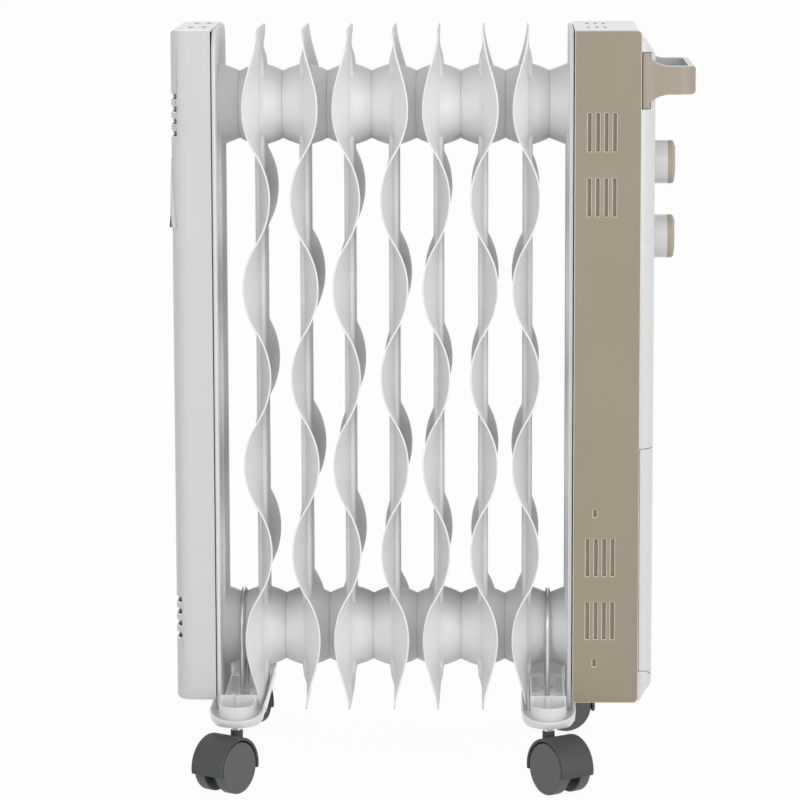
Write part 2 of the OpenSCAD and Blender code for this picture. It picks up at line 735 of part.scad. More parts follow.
module handle_plan(shrink, corner_r) {
    x0 = house_x1 + 2 * seat_gap;
    y = handle_y - shrink;
    translate([x0, -y]) half_round_rect(handle_x - shrink - x0, 2 * y, corner_r - shrink, corner_r - shrink);
    flared_bar(x0, x0 + front_bulge, y, handle_root_y - shrink, plan_flare_r);
}

module handle_band(grow) {
    translate([0, house_y, handle_z]) rotate([90, 0, 0]) linear_extrude(housing_depth) {
        flared_bar(house_x1 + 2 * seat_gap - grow, handle_x - 2 * band_end_r, handle_bar_h / 2 + grow,
            handle_root_h / 2 + grow, band_flare_r - grow);
        translate([handle_x - 3 * band_end_r, -handle_bar_h / 2])
            half_round_rect(3 * band_end_r, handle_bar_h, band_end_r, band_end_r);
    }
}

// block round the low pads that fill the front's gaps beside the handle's flare
module root_pads(grow) {
    translate([house_x0, -house_y, handle_z - handle_root_h / 2 - grow])
        cube([house_x1 + 2 * seat_gap + root_pad + grow - house_x0, 2 * house_y, handle_root_h + 2 * grow]);
}

// a sheet that follows the handle from above, between two depths below its outer face
module handle_sheet(shrink, inside) {
    translate([0, 0, handle_z - handle_root_h]) linear_extrude(2 * handle_root_h) difference() {
        handle_plan(shrink, handle_corner_r);
        handle_plan(inside, handle_corner_r);
    }
}

module handle_shell() {
    color(taupe) at_row() {
        intersection() {
            handle_band(0);
            handle_sheet(0, handle_skin);
        }
        intersection() {
            root_pads(0);
            handle_sheet(pad_sink, handle_skin);
        }
    }
}

// inner half of the handle with the finger opening, and a flange behind the front panel at each root
module handle_liner() {
    color(white) at_row() {
        intersection() {
            handle_band(0);
            translate([0, 0, handle_z - handle_root_h]) linear_extrude(2 * handle_root_h) difference() {
                handle_plan(handle_skin, handle_corner_r);
                translate([house_x0, -handle_gap / 2])
                    half_round_rect(handle_x - handle_bar_w * 0.6 - house_x0, handle_gap, 5, 5);
            }
        }
        intersection() {
            front_body(cover_wall + loose_fit);
            translate([house_x1 - handle_flange, -house_y, handle_z - handle_root_h / 2 - handle_flange])
                cube([handle_flange + 2 * seat_gap + 0.1, housing_depth, handle_root_h + 2 * handle_flange]);
            for (side = [-1, 1]) translate([0, side * house_y, 0])
                cube([4 * housing_width, 2 * (house_y - handle_gap / 2 + handle_flange), 3 * cover_z1], center = true);
        }
    }
}

// ---- controls ----

module control_body(z, w, h) {
    x1 = front_x - cover_wall - loose_fit;
    color("dimgray") at_row() difference() {
        union() {
            translate([x1 - 26, -w / 2, z - h / 2]) cube([20, w, h]);
            x_rod(x1 - 6, x1, 0, z, shaft_d + 6);
        }
        x_rod(x1 - 20, x1 + 1, 0, z, shaft_d + 2 * run_fit);
    }
}

module thermostat() { control_body(knob_hi_z, 34, 30); }
module power_switch() { control_body(knob_lo_z, 30, 34); }

// white skirt of a knob, hollow behind, with its shaft
module knob_skirt(z) {
    x0 = front_x + seat_gap;
    color(white) at_row() {
        difference() {
            x_rod(x0, x0 + skirt_len, 0, z, knob_d);
            x_rod(x0 - 1, x0 + skirt_len - 2, 0, z, knob_d - 4);
        }
        x_rod(x0 + 1, x0 + skirt_len, 0, z, shaft_d + 5);
        x_rod(front_x - 20, x0 + skirt_len, 0, z, shaft_d);
    }
}

// coloured cap with a rounded rim and a small pointer
module knob_cap(z) {
    rim = 2.4;
    color(taupe) at_row() translate([front_x + seat_gap + skirt_len, 0, z]) rotate([0, 90, 0]) {
        rotate_extrude() {
            square([knob_d / 2 - rim, cap_len - 0.8]);
            square([knob_d / 2, cap_len - 0.8 - rim]);
            translate([knob_d / 2 - rim, cap_len - 0.8 - rim]) intersection() {
                circle(rim);
                square(rim);
            }
        }
        cylinder(r = knob_d / 2 - 5, h = cap_len - 0.4);
        translate([-knob_d / 2 + 4, -1, 0]) cube([6, 2, cap_len]);
    }
}

module thermal_cutout() {
    color("dimgray") at_row() {
        x_rod(skin_x, skin_x + 6, cutout_y, cutout_z, 16);
        translate([skin_x + 6, cutout_y - 6, cutout_z - 5]) cube([3, 12, 10]);
    }
}

module terminal_block() {
    color("dimgray") at_row() difference() {
        translate([house_x0 + 0.4 + cover_wall, -24, tray_z1 + 12]) cube([14, 48, 16]);
        for (k = [-1.5:1.5]) translate([house_x0, k * 11, tray_z1 + 20]) x_rod(4, 20, 0, 0, 4);
    }
}

module cord_gland() {
    z0 = cover_z0 - 0.4;
    color("dimgray") at_row() translate([gland_x, gland_y, 0]) difference() {
        union() {
            translate([0, 0, z0 - 4]) cylinder(d = gland_d + 5, h = 4);
            translate([0, 0, z0]) cylinder(d = gland_d, h = 12);
            translate([0, 0, z0 + cover_wall]) cylinder(d = gland_d + 5, h = 3);
        }
        translate([0, 0, z0 - 5]) cylinder(d = 7.4, h = 20);
    }
}

// ---- feet ----

// half width of a foot at a height above its underside
function foot_half(z) = z < foot_belly_h ? foot_width / 2 - foot_tuck + (foot_tuck - 1) * z / foot_belly_h
    : foot_width / 2 - 1 + (z - foot_belly_h) / (foot_rim_h - foot_belly_h);

// a foot's form from one height upwards, drawn in by a wall
module foot_form(z0, wall, top) {
    half = [[0, z0], [foot_half(z0) - wall, z0], [foot_half(foot_belly_h) - wall, foot_belly_h],
        [foot_half(foot_rim_h) - wall, top], [0, top]];
    y = foot_length / 2 - foot_end_r;
    translate([0, y, 0]) rotate([90, 0, 0]) linear_extrude(2 * y) {
        polygon(half);
        mirror([1, 0]) polygon(half);
    }
    for (side = [-1, 1]) translate([0, side * y, 0]) rotate_extrude() polygon(half);
}

// collar round a stem and the two rails that run from it between the fins' edges
module foot_rails(h, r, y) {
    for (side = [-1, 1]) translate([0, side * (foot_length / 2 - foot_end_r), 0]) cylinder(r = r, h = h);
    translate([-r, -y, 0]) cube([2 * r, 2 * y, h]);
}

// shallow tray with rounded noses; the fins' lower edges stand between its walls and its rails
module foot() {
    end_y = foot_length / 2 - foot_end_r;
    seat = end_gap / 2 + hem_thick / 2 + 1;
    wall_y = foot_clear_y + 12;
    hole_d = u_bolt_d + 2 * loose_fit;
    translate([0, 0, foot_height]) difference() {
        union() {
            difference() {
                union() {
                    foot_form(0, 0, foot_rim_h);
                    translate([-seat - foot_wall, -fin_depth / 2 - 3, 0])
                        cube([2 * (seat + foot_wall), fin_depth + 6, foot_low_rim]);
                }
                foot_form(foot_wall, foot_wall, foot_rim_h + 1);
                translate([-seat, -fin_depth / 2 - 1, foot_wall]) cube([2 * seat, fin_depth + 2, foot_rim_h]);
                translate([-foot_width, -foot_clear_y, foot_low_rim])
                    cube([2 * foot_width, 2 * foot_clear_y, foot_rim_h]);
                for (side = [-1, 1]) scale([1, side, 1]) rotate([90, 0, 90])
                    translate([0, 0, -foot_width]) linear_extrude(2 * foot_width)
                        polygon([[end_y, foot_rim_h], [foot_length / 2 + 1, foot_nose_h],
                            [foot_length / 2 + 1, foot_rim_h + 1], [end_y, foot_rim_h + 1]]);
            }
            difference() {
                foot_rails(foot_collar_h, rail_x, end_y);
                translate([0, 0, -1]) foot_rails(foot_collar_h + 2, rail_x - rail_w, end_y);
                translate([-foot_width, -foot_clear_y, foot_low_rim])
                    cube([2 * foot_width, 2 * foot_clear_y, foot_collar_h]);
            }
            for (side = [-1, 1]) {
                translate([0, side * pivot_y, 0]) cylinder(r = stem_d / 2 + 3, h = foot_wall + 5);
                translate([-rail_x, side * wall_y - rail_w / 2, 0]) cube([2 * rail_x, rail_w, foot_collar_h + 3]);
                translate([0, side * (wall_y + 2), (foot_collar_h + 3) / 2])
                    cube([3.6, 4, foot_collar_h + 3], center = true);
                translate([0, side * leg_y, 0]) cylinder(d = u_bolt_d + 8, h = foot_wall + 2);
                for (k = [-1, 1]) {
                    translate([k * (rail_x - 3.5), side * leg_y, foot_low_rim / 2])
                        cube([7, rail_w, foot_low_rim], center = true);
                    translate([k * (rail_x - 6), side * (leg_y + 2), foot_low_rim / 2])
                        cube([rail_w, 6, foot_low_rim], center = true);
                }
            }
        }
        for (side = [-1, 1]) {
            translate([0, side * leg_y, -1]) cylinder(d = hole_d, h = foot_rim_h);
            translate([0, side * pivot_y, -1]) cylinder(d = stem_d + 2 * run_fit, h = foot_rim_h);
        }
    }
}

module foot_at(side) { color(white) at_row() translate([side * valley_x, 0, 0]) foot(); }

// rod bent over the weld between the last two sections, one for each foot
module u_bolts() {
    z1 = foot_height - nut_h - thread_len;
    color(steel) at_row() for (side = [-1, 1]) translate([side * valley_x, 0, 0]) {
        for (y = [-leg_y, leg_y]) translate([0, y, z1]) cylinder(d = u_bolt_d, h = hub_lo - z1);
        translate([0, 0, hub_lo]) rotate([90, 0, 90]) rotate_extrude(angle = 180)
            translate([leg_y, 0]) circle(d = u_bolt_d);
    }
}

module wing_nuts() {
    color(steel) at_row() for (side = [-1, 1], y = [-leg_y, leg_y])
        translate([side * valley_x, y, foot_height - nut_h]) difference() {
            union() {
                cylinder(d = 10, h = nut_h);
                translate([-9, -1, -5]) cube([18, 2, 9]);
            }
            translate([0, 0, -6]) cylinder(d = u_bolt_d, h = nut_h + 8);
        }
}

// ---- casters, drawn with the stem at the origin and trailing towards +X ----

module at_caster(i) {
    at_row() translate([caster_sides[i][0] * valley_x, caster_sides[i][1] * pivot_y, 0])
        rotate([0, 0, caster_turns[i]]) children();
}

module hood(i) {
    axle_z = wheel_d / 2;
    skirt_z = axle_z - 4;
    color(grey) at_caster(i) difference() {
        union() {
            intersection() {
                y_rod(caster_trail, axle_z, 2 * hood_r, -hood_w / 2, hood_w / 2);
                translate([caster_trail - hood_r - 1, -hood_w / 2 - 1, skirt_z])
                    cube([2 * hood_r + 2, hood_w + 2, 2 * hood_r]);
            }
            y_rod(caster_trail, axle_z, 2 * (axle_z - 6), -web_w / 2, web_w / 2);
            translate([0, 0, axle_z + 6]) cylinder(r = neck_r, h = neck_top - axle_z - 6);
        }
        for (side = [-1, 1]) translate([0, side > 0 ? web_w / 2 : -web_w / 2 - hood_w, 0]) difference() {
            y_rod(caster_trail, axle_z, wheel_d + 2 * hood_gap, 0, hood_w);
            translate([0, side > 0 ? 0 : hood_w - spacer_len, 0])
                y_rod(caster_trail, axle_z, axle_d + 5, 0, spacer_len);
        }
        translate([0, 0, axle_z + 14]) cylinder(d = stem_d, h = foot_height);
        y_rod(caster_trail, axle_z, axle_d, -hood_w, hood_w);
    }
}

// steel stem and axle
module pins(i) {
    color(steel) at_caster(i) {
        translate([0, 0, wheel_d / 2 + 14]) cylinder(d = stem_d, h = foot_height + foot_wall + 4 - wheel_d / 2 - 14);
        y_rod(caster_trail, wheel_d / 2, axle_d, -hood_w / 2 + 2, hood_w / 2 - 2);
    }
}

module wheel(i, side) {
    edge = 1.5;
    color(grey) at_caster(i) translate([caster_trail, side * wheel_gap / 2, wheel_d / 2])
        rotate([-90 * side, 0, 0]) difference() {
            rotate_extrude() {
                square([wheel_d / 2 - edge, wheel_w]);
                translate([0, edge]) square([wheel_d / 2, wheel_w - 2 * edge]);
                for (h = [edge, wheel_w - edge]) translate([wheel_d / 2 - edge, h]) circle(edge);
            }
            translate([0, 0, -1]) cylinder(d = axle_d + 2 * run_fit, h = wheel_w - 0.5);
        }
}

// ---- the whole heater ----

for (i = [1:fin_count]) wavy_fin(i);
at_row() mirror([1, 0, 0]) end_fin(plug_d, hub_hi);  // end_fin_left
at_row() end_fin(element_bore_d, hub_lo);  // end_fin_right
heating_element();
element_flange();
oil_plug();
end_cover();
cover_grip();
cover_screws();
housing_frame();
side_panel();  // side_panel_front
mirror([0, 1, 0]) side_panel();  // side_panel_back
front_panel();
cord_tray();
cord_door();
door_hinge_pin();
bottom_cap();
handle_shell();
handle_liner();
thermostat();
power_switch();
knob_skirt(knob_hi_z);  // thermostat_skirt
knob_cap(knob_hi_z);  // thermostat_cap
knob_skirt(knob_lo_z);  // power_skirt
knob_cap(knob_lo_z);  // power_cap
thermal_cutout();
terminal_block();
cord_gland();
housing_screws();
foot_at(-1);  // foot_left
foot_at(1);  // foot_right
u_bolts();
wing_nuts();
for (i = [0:3]) {
    hood(i);
    pins(i);
    wheel(i, 1);
    wheel(i, -1);
}
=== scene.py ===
"""Looks of an oil filled radiator heater, built around its packed construction model.

Everything is in metres in the model's own frame: X runs along the row of fins towards the
controls, Y runs from front to back and Z is up from the floor.
"""

import math

import bmesh
import bpy
from mathutils import Matrix, Vector
from mathutils.bvhtree import BVHTree
from mathutils.interpolate import poly_3d_calc


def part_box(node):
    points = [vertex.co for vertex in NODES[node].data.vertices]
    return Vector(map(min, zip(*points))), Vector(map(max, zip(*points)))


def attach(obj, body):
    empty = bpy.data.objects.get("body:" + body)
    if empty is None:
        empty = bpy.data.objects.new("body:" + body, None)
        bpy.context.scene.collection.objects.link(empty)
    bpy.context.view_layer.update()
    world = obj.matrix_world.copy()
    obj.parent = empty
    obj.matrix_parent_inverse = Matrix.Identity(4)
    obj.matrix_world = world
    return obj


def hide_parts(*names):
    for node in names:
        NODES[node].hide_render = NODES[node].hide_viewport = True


bl_info = {
    "name": "Oil filled radiator heater",
    "version": (1, 0, 0),
    "blender": (4, 5, 0),
    "location": "View3D > Sidebar > Heater",
    "description": "Builds the finished surfaces of an oil filled radiator heater around its "
                   "solid model",
    "category": "Object",
}

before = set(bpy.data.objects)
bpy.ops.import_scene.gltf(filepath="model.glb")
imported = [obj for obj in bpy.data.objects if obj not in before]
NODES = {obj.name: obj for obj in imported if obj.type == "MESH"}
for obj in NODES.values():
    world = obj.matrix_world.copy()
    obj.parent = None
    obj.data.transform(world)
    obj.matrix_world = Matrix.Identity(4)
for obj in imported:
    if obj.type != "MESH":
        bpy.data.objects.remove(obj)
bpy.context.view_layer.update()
MM = 0.001
UP = Vector((0, 0, 1))
ALONG_ROW = Vector((1, 0, 0))

FIN_COUNT = len([n for n in NODES if n.startswith("fin_")])
CASTERS = ("front_left", "front_right", "back_left", "back_right")

# Rounding of the solids' edges
WELD = 2e-6            # corners closer than this are one corner
EDGE_STEPS = 3         # faces across a rounded edge
SAME_FACING = 0.99999  # cosine between faces of one flat patch
SAME_LEVEL = 5e-6      # how far apart their planes may lie
AREA_SLACK = 0.002     # share by which a refilled patch's area may be off
STEP_IN = 5e-5         # how far inside its face a corner's normal is read
NEAR_FACING = 0.9      # cosine above which the solid's normal belongs to a face
TINY = 1e-9            # a length or an area that counts as none
TINY_LEAD = 1e-15      # flat area below which a corner takes its normal from the rounding


def node_box(name):
    """Lowest and highest corner of a solid."""
    low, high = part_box(name)
    return Vector(low), Vector(high)


def node_mid(name):
    """Middle of a solid's box."""
    low, high = node_box(name)
    return (low + high) / 2


# ---------------------------------------------------------------------------
# Mesh helpers
# ---------------------------------------------------------------------------


def linked_object(name, data):
    """New object in the scene."""
    obj = bpy.data.objects.new(name, data)
    bpy.context.scene.collection.objects.link(obj)
    return obj


def object_from_bmesh(name, bm, smooth_angle=35.0):
    """New object from a bmesh, with smooth shading that breaks at edges over the angle."""
    limit = math.radians(smooth_angle)
    bmesh.ops.recalc_face_normals(bm, faces=bm.faces)
    bm.normal_update()
    for face in bm.faces:
        face.smooth = True
    for edge in bm.edges:
        edge.smooth = len(edge.link_faces) == 2 and edge.calc_face_angle(0.0) < limit
    mesh = bpy.data.meshes.new(name)
    bm.to_mesh(mesh)
    bm.free()
    return linked_object(name, mesh)


def paint(obj, *materials):
    """Give an object these materials and no others."""
    obj.data.materials.clear()
    for mat in materials:
        obj.data.materials.append(mat)


def paint_facing(obj, mat, direction, least=0.8):
    """Give the faces that look in a direction a material of their own."""
    obj.data.materials.append(mat)
    for polygon in obj.data.polygons:
        if polygon.normal.dot(direction) > least:
            polygon.material_index = len(obj.data.materials) - 1


def place(obj, body, slot, *replaced):
    """Ride on a body and stand for solids. The slot is not used."""
    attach(obj, body)
    if replaced:
        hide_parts(*replaced)


def apply_modifiers(obj):
    """Turn the object's modifiers into its mesh."""
    graph = bpy.context.evaluated_depsgraph_get()
    mesh = bpy.data.meshes.new_from_object(obj.evaluated_get(graph))
    obj.modifiers.clear()
    obj.data = mesh


def rounded_piece(node, name, body, slot, *finishes, width=0.5, angle=35.0, top=None):
    """A solid with rounded edges, shown in the solid's place.

    Width is in millimetres. A second finish goes on the rounded edges, and top is the finish
    of the upward faces.
    """
    piece = softened(node, name, *[finish(f) for f in finishes], width=width, angle=angle)
    if top:
        paint_facing(piece, finish(top), UP, least=0.5)
    place(piece, body, slot, node)
    return piece


def softened(node, name, *materials, width, angle):
    """A copy of a solid with its edges over the angle rounded, kept inside the solid's box."""
    source = NODES[node].data
    bm = bmesh.new()
    bm.from_mesh(source)
    bmesh.ops.remove_doubles(bm, verts=bm.verts, dist=WELD)
    bmesh.ops.recalc_face_normals(bm, faces=bm.faces)
    for face in bm.faces:
        face.smooth = True
        face.material_index = 0
    mesh = bpy.data.meshes.new(name)
    bm.to_mesh(mesh)
    bm.free()
    for mat in materials:
        mesh.materials.append(mat)
    obj = linked_object(name, mesh)
    round_edges(obj, source, width, angle)
    low, high = node_box(node)
    for vertex in obj.data.vertices:
        vertex.co = [min(max(v, a), b) for v, a, b in zip(vertex.co, low, high)]
    return obj


def round_edges(obj, source, width, angle):
    """Round the sharp edges, with flat faces shading evenly right up to them.

    An extra material slot marks the rounding's faces while this runs.
    """
    marker = len(obj.data.materials)
    bevel = obj.modifiers.new("round edges", "BEVEL")
    bevel.width = width * MM
    bevel.segments = EDGE_STEPS
    bevel.limit_method = "ANGLE"
    bevel.angle_limit = math.radians(angle)
    bevel.use_clamp_overlap = False
    bevel.loop_slide = False
    bevel.miter_outer = "MITER_ARC"
    obj.data.materials.append(None)
    bevel.material = marker
    apply_modifiers(obj)
    source.calc_loop_triangles()
    tree = BVHTree.FromPolygons([v.co for v in source.vertices],
                                [t.vertices for t in source.loop_triangles])
    fill_flats(obj.data, marker, tree)
    even_normals(obj.data, marker, source, tree)
    for polygon in obj.data.polygons:
        polygon.material_index = min(polygon.material_index, marker - 1)
    obj.data.materials.pop()


def flat_patches(facing):
    """Groups of joined faces that lie in one plane, each with that plane's normal."""
    done, patches = set(), []
    for face, normal in facing.items():
        if face in done:
            continue
        patch, stack = [face], [face]
        done.add(face)
        level = normal.dot(face.calc_center_median())
        while stack:
            for edge in stack.pop().edges:
                for other in edge.link_faces:
                    if other in done or other not in facing:
                        continue
                    off = abs(normal.dot(other.calc_center_median()) - level)
                    if facing[other].dot(normal) > SAME_FACING and off < SAME_LEVEL:
                        done.add(other)
                        patch.append(other)
                        stack.append(other)
        patches.append((normal, patch))
    return patches


def fill_flats(mesh, marker, tree):
    """Fill flat patches afresh from their outlines where rounding folded their thin triangles."""
    bm = bmesh.new()
    bm.from_mesh(mesh)
    facing = {}
    for face in bm.faces:
        if face.material_index != marker:
            normal = tree.find_nearest(face.calc_center_median())[1]
            facing[face] = normal if normal is not None else face.normal
    stale = []
    for normal, patch in flat_patches(facing):
        if all(f.normal.dot(normal) > 0 for f in patch):
            continue
        inside = set(patch)
        edges = dict.fromkeys(e for f in patch for e in f.edges)
        rim = [e for e in edges if sum(f in inside for f in e.link_faces) == 1]
        area = sum(math.copysign(f.calc_area(), f.normal.dot(normal)) for f in patch)
        fill = bmesh.ops.triangle_fill(bm, use_beauty=False, use_dissolve=False, edges=rim,
                                       normal=normal)
        made = [g for g in fill["geom"] if isinstance(g, bmesh.types.BMFace)]
        if abs(sum(f.calc_area() for f in made) - area) > AREA_SLACK * abs(area) + TINY:
            stale += [f for f in made if f not in inside]
            continue
        for f in made:
            f.smooth = True
            f.material_index = 0
            if f.normal.dot(normal) < 0:
                f.normal_flip()
        stale += inside.difference(made)
    bmesh.ops.delete(bm, geom=stale, context="FACES")
    bm.to_mesh(mesh)
    bm.free()


def even_normals(mesh, marker, source, tree):
    """Take the solid's own smooth normals, and blend between them across the rounded edges."""
    triangles = source.loop_triangles
    points = [v.co for v in source.vertices]
    smooth = [n.vector.copy() for n in source.corner_normals]
    led = [Vector() for _ in mesh.vertices]
    free = [Vector() for _ in mesh.vertices]
    for polygon in mesh.polygons:
        for v in polygon.vertices:
            if polygon.material_index == marker:
                free[v] += polygon.normal * polygon.area
                continue
            spot = mesh.vertices[v].co
            inward = polygon.center - spot
            probe = spot + inward * min(1.0, STEP_IN / max(inward.length, TINY))
            nearest, facing, index, _ = tree.find_nearest(probe)
            normal = polygon.normal
            if facing is not None and facing.dot(normal) > NEAR_FACING:
                shares = poly_3d_calc([points[k] for k in triangles[index].vertices], nearest)
                normal = sum((smooth[k] * share for k, share in
                              zip(triangles[index].loops, shares)), Vector())
            led[v] += normal * polygon.area
    mesh.normals_split_custom_set_from_vertices([
        (a if a.length > TINY_LEAD else b if b.length > 0 else UP).normalized()
        for a, b in zip(led, free)
    ])


def circle(centre, axis, radius, segments):
    """Points of a circle about an axis."""
    side = axis.orthogonal().normalized()
    up = axis.cross(side)
    return [centre + (side * math.cos(a) + up * math.sin(a)) * radius
            for a in (2 * math.pi * k / segments for k in range(segments))]


def lathe(bm, profile, centre, axis, segments, material_index):
    """Turn a profile of (along, radius) points about an axis, closed where its radius is 0."""
    rings = []
    for along, radius in profile:
        middle = centre + axis * along
        points = circle(middle, axis, radius, segments) if radius > 0 else [middle]
        rings.append([bm.verts.new(p) for p in points])
    for first, second in zip(rings, rings[1:]):
        for k in range(segments):
            n = (k + 1) % segments
            if len(first) == 1:
                face = bm.faces.new((first[0], second[k], second[n]))
            elif len(second) == 1:
                face = bm.faces.new((first[k], second[0], first[n]))
            else:
                face = bm.faces.new((first[k], second[k], second[n], first[n]))
            face.material_index = material_index


def loft(bm, outlines):
    """Closed solid through outlines that all have as many points."""
    rings = [[bm.verts.new(p) for p in outline] for outline in outlines]
    for first, second in zip(rings, rings[1:]):
        for k in range(len(first)):
            n = (k + 1) % len(first)
            bm.faces.new((first[k], first[n], second[n], second[k]))
    bm.faces.new(list(reversed(rings[0])))
    bm.faces.new(rings[-1])


def rod(bm, start, end, radius, segments=8):
    """Round rod between two points."""
    axis = (end - start).normalized()
    loft(bm, [circle(middle, axis, radius, segments) for middle in (start, end)])


def prism(bm, outline, low, high):
    """Upright solid from a closed outline of (x, y) points."""
    loft(bm, [[(x, y, z) for x, y in outline] for z in (low, high)])


def block(bm, x, y, z):
    """Box between two values on each axis."""
    prism(bm, [(x[0], y[0]), (x[1], y[0]), (x[1], y[1]), (x[0], y[1])], *z)


# ---------------------------------------------------------------------------
# Finishes
# ---------------------------------------------------------------------------

# How each finish looks. Its colour is the property of the same name, and glow names the
# property that holds the glow's strength; a glow is painted light, as the surface shines though
# it is no lamp.
RECIPES = {
    "enamel": dict(roughness=0.5, grain=1100.0, mottle=0.015, coat=0.05),
    # the headers' enamel, darkened as painted shade where the headers lie between the fins
    "header enamel": dict(roughness=0.6, grain=1100.0, mottle=0.015),
    # lighter enamel on the fins' rims: a painted highlight
    "enamel edge": dict(roughness=0.38, grain=1100.0, mottle=0.01),
    "cover": dict(roughness=0.5, grain=1500.0, grain_depth=0.02, mottle=0.01),
    # upward faces painted much lighter than the sides: a painted highlight from the light above
    "cover top": dict(roughness=0.5, grain=1500.0, grain_depth=0.02, mottle=0.01),
    "front white": dict(roughness=0.28, grain=700.0, grain_depth=0.01, mottle=0.004, coat=0.2,
                        rough_spread=0.01),
    "taupe": dict(roughness=0.5, grain=2200.0, grain_depth=0.05, mottle=0.02),
    # lighter taupe on the panels' rounded edges: a painted highlight
    "taupe edge": dict(roughness=0.4, grain=2200.0, mottle=0.01),
    "taupe cap": dict(roughness=0.42, grain=2200.0, grain_depth=0.03, mottle=0.015),
    "slot screen": dict(roughness=0.7, grain=1800.0, mottle=0.05),
    "handle taupe": dict(roughness=0.5, grain=2200.0, grain_depth=0.05, mottle=0.02),
    # the white handle liner painted grey-green below its top: painted shade inside the hand
    # opening
    "handle inside": dict(roughness=0.4, grain=900.0, mottle=0.01),
    # the feet glow a little: painted light that brightens them in their own shade
    "foot white": dict(roughness=0.2, grain=300.0, grain_depth=0.02, mottle=0.01, coat=0.3,
                       rough_spread=0.01, glow="foot_painted_glow"),
    "caster grey": dict(roughness=0.48, grain=1800.0, grain_depth=0.05, mottle=0.04),
    "wheel grey": dict(roughness=0.52, grain=1600.0, grain_depth=0.05, mottle=0.04),
    "zinc": dict(roughness=0.34, metallic=1.0, grain=500.0, mottle=0.05, rough_spread=0.1),
    "bright steel": dict(roughness=0.2, metallic=1.0, grain=400.0, mottle=0.04,
                         stretch=(1.0, 1.0, 0.1)),
    # black of the controls, also used as painted shade behind vent slots and on the wheels' inner
    # sides
    "control black": dict(roughness=0.5, grain=1400.0, mottle=0.1),
}
FINISHES = {}

CLOUD_SCALE = 14.0        # scale of the slow unevenness
CLOUD_RANGE = (0.3, 0.7)  # the noise's values that it runs between
COAT_ROUGHNESS = 0.12
GRAIN_STRENGTH = 0.35


def add_node(tree, kind, inputs=None, **settings):
    """New shader node, with each input set to a value or linked to an output."""
    node = tree.nodes.new("ShaderNode" + kind)
    for name, value in settings.items():
        setattr(node, name, value)
    set_inputs(tree, node, inputs or {})
    return node


def set_inputs(tree, node, inputs):
    """Set a node's inputs to values, or link them to outputs."""
    for key, value in inputs.items():
        if isinstance(value, bpy.types.NodeSocket):
            tree.links.new(value, node.inputs[key])
        else:
            node.inputs[key].default_value = value


def add_range(tree, value, source, target):
    """Output of a node that maps a value from one range to another."""
    node = add_node(tree, "MapRange", {
        "From Min": source[0], "From Max": source[1], "To Min": target[0], "To Max": target[1],
        "Value": value,
    })
    return node.outputs["Result"]


def finish_material(name, colour, roughness, grain, mottle, metallic=0.0, grain_depth=0.04,
                    coat=0.0, rough_spread=0.06, stretch=(1.0, 1.0, 1.0), glow=0.0):
    """Painted, moulded or plated surface with a fine grain and slight unevenness.

    Grain is the scale of the fine bumps and grain_depth their depth in millimetres. Mottle and
    rough_spread are how far the tone and the gloss vary.
    """
    mat = bpy.data.materials.new(name)
    mat.use_nodes = True
    mat.diffuse_color = (*colour, 1.0)
    tree = mat.node_tree
    where = add_node(tree, "TexCoord").outputs["Object"]
    where = add_node(tree, "Mapping", {"Vector": where, "Scale": stretch}).outputs["Vector"]
    cloud = add_node(tree, "TexNoise", {"Vector": where, "Scale": CLOUD_SCALE, "Detail": 3.0})
    tone, gloss = [
        add_range(tree, cloud.outputs["Fac"], CLOUD_RANGE, (middle - reach, middle + reach))
        for middle, reach in ((1.0, mottle), (roughness, rough_spread))
    ]
    # inputs 0, 6 and 7 are the share and the two colours
    tint = add_node(tree, "Mix", {0: 1.0, 6: (*colour, 1.0), 7: tone},
                    data_type="RGBA", blend_type="MULTIPLY")
    fine = add_node(tree, "TexNoise", {"Vector": where, "Scale": grain, "Detail": 2.0})
    bump = add_node(tree, "Bump", {
        "Strength": GRAIN_STRENGTH, "Distance": grain_depth * MM, "Height": fine.outputs["Fac"],
    })
    set_inputs(tree, tree.nodes["Principled BSDF"], {
        "Base Color": tint.outputs[2],
        "Roughness": gloss,
        "Normal": bump.outputs["Normal"],
        "Metallic": metallic,
        "Coat Weight": coat,
        "Coat Roughness": COAT_ROUGHNESS,
        # the glow is painted light
        "Emission Color": (1.0, 1.0, 1.0, 1.0),
        "Emission Strength": glow,
    })
    return mat


def finish(name):
    """A finish by its name, made once from the panel's colours."""
    if name not in FINISHES:
        look = bpy.context.scene.heater_look
        recipe = dict(RECIPES[name])
        if "glow" in recipe:
            recipe["glow"] = getattr(look, recipe["glow"])
        FINISHES[name] = finish_material(name, getattr(look, name.replace(" ", "_")), **recipe)
    return FINISHES[name]


# ---------------------------------------------------------------------------
# Fins
# ---------------------------------------------------------------------------


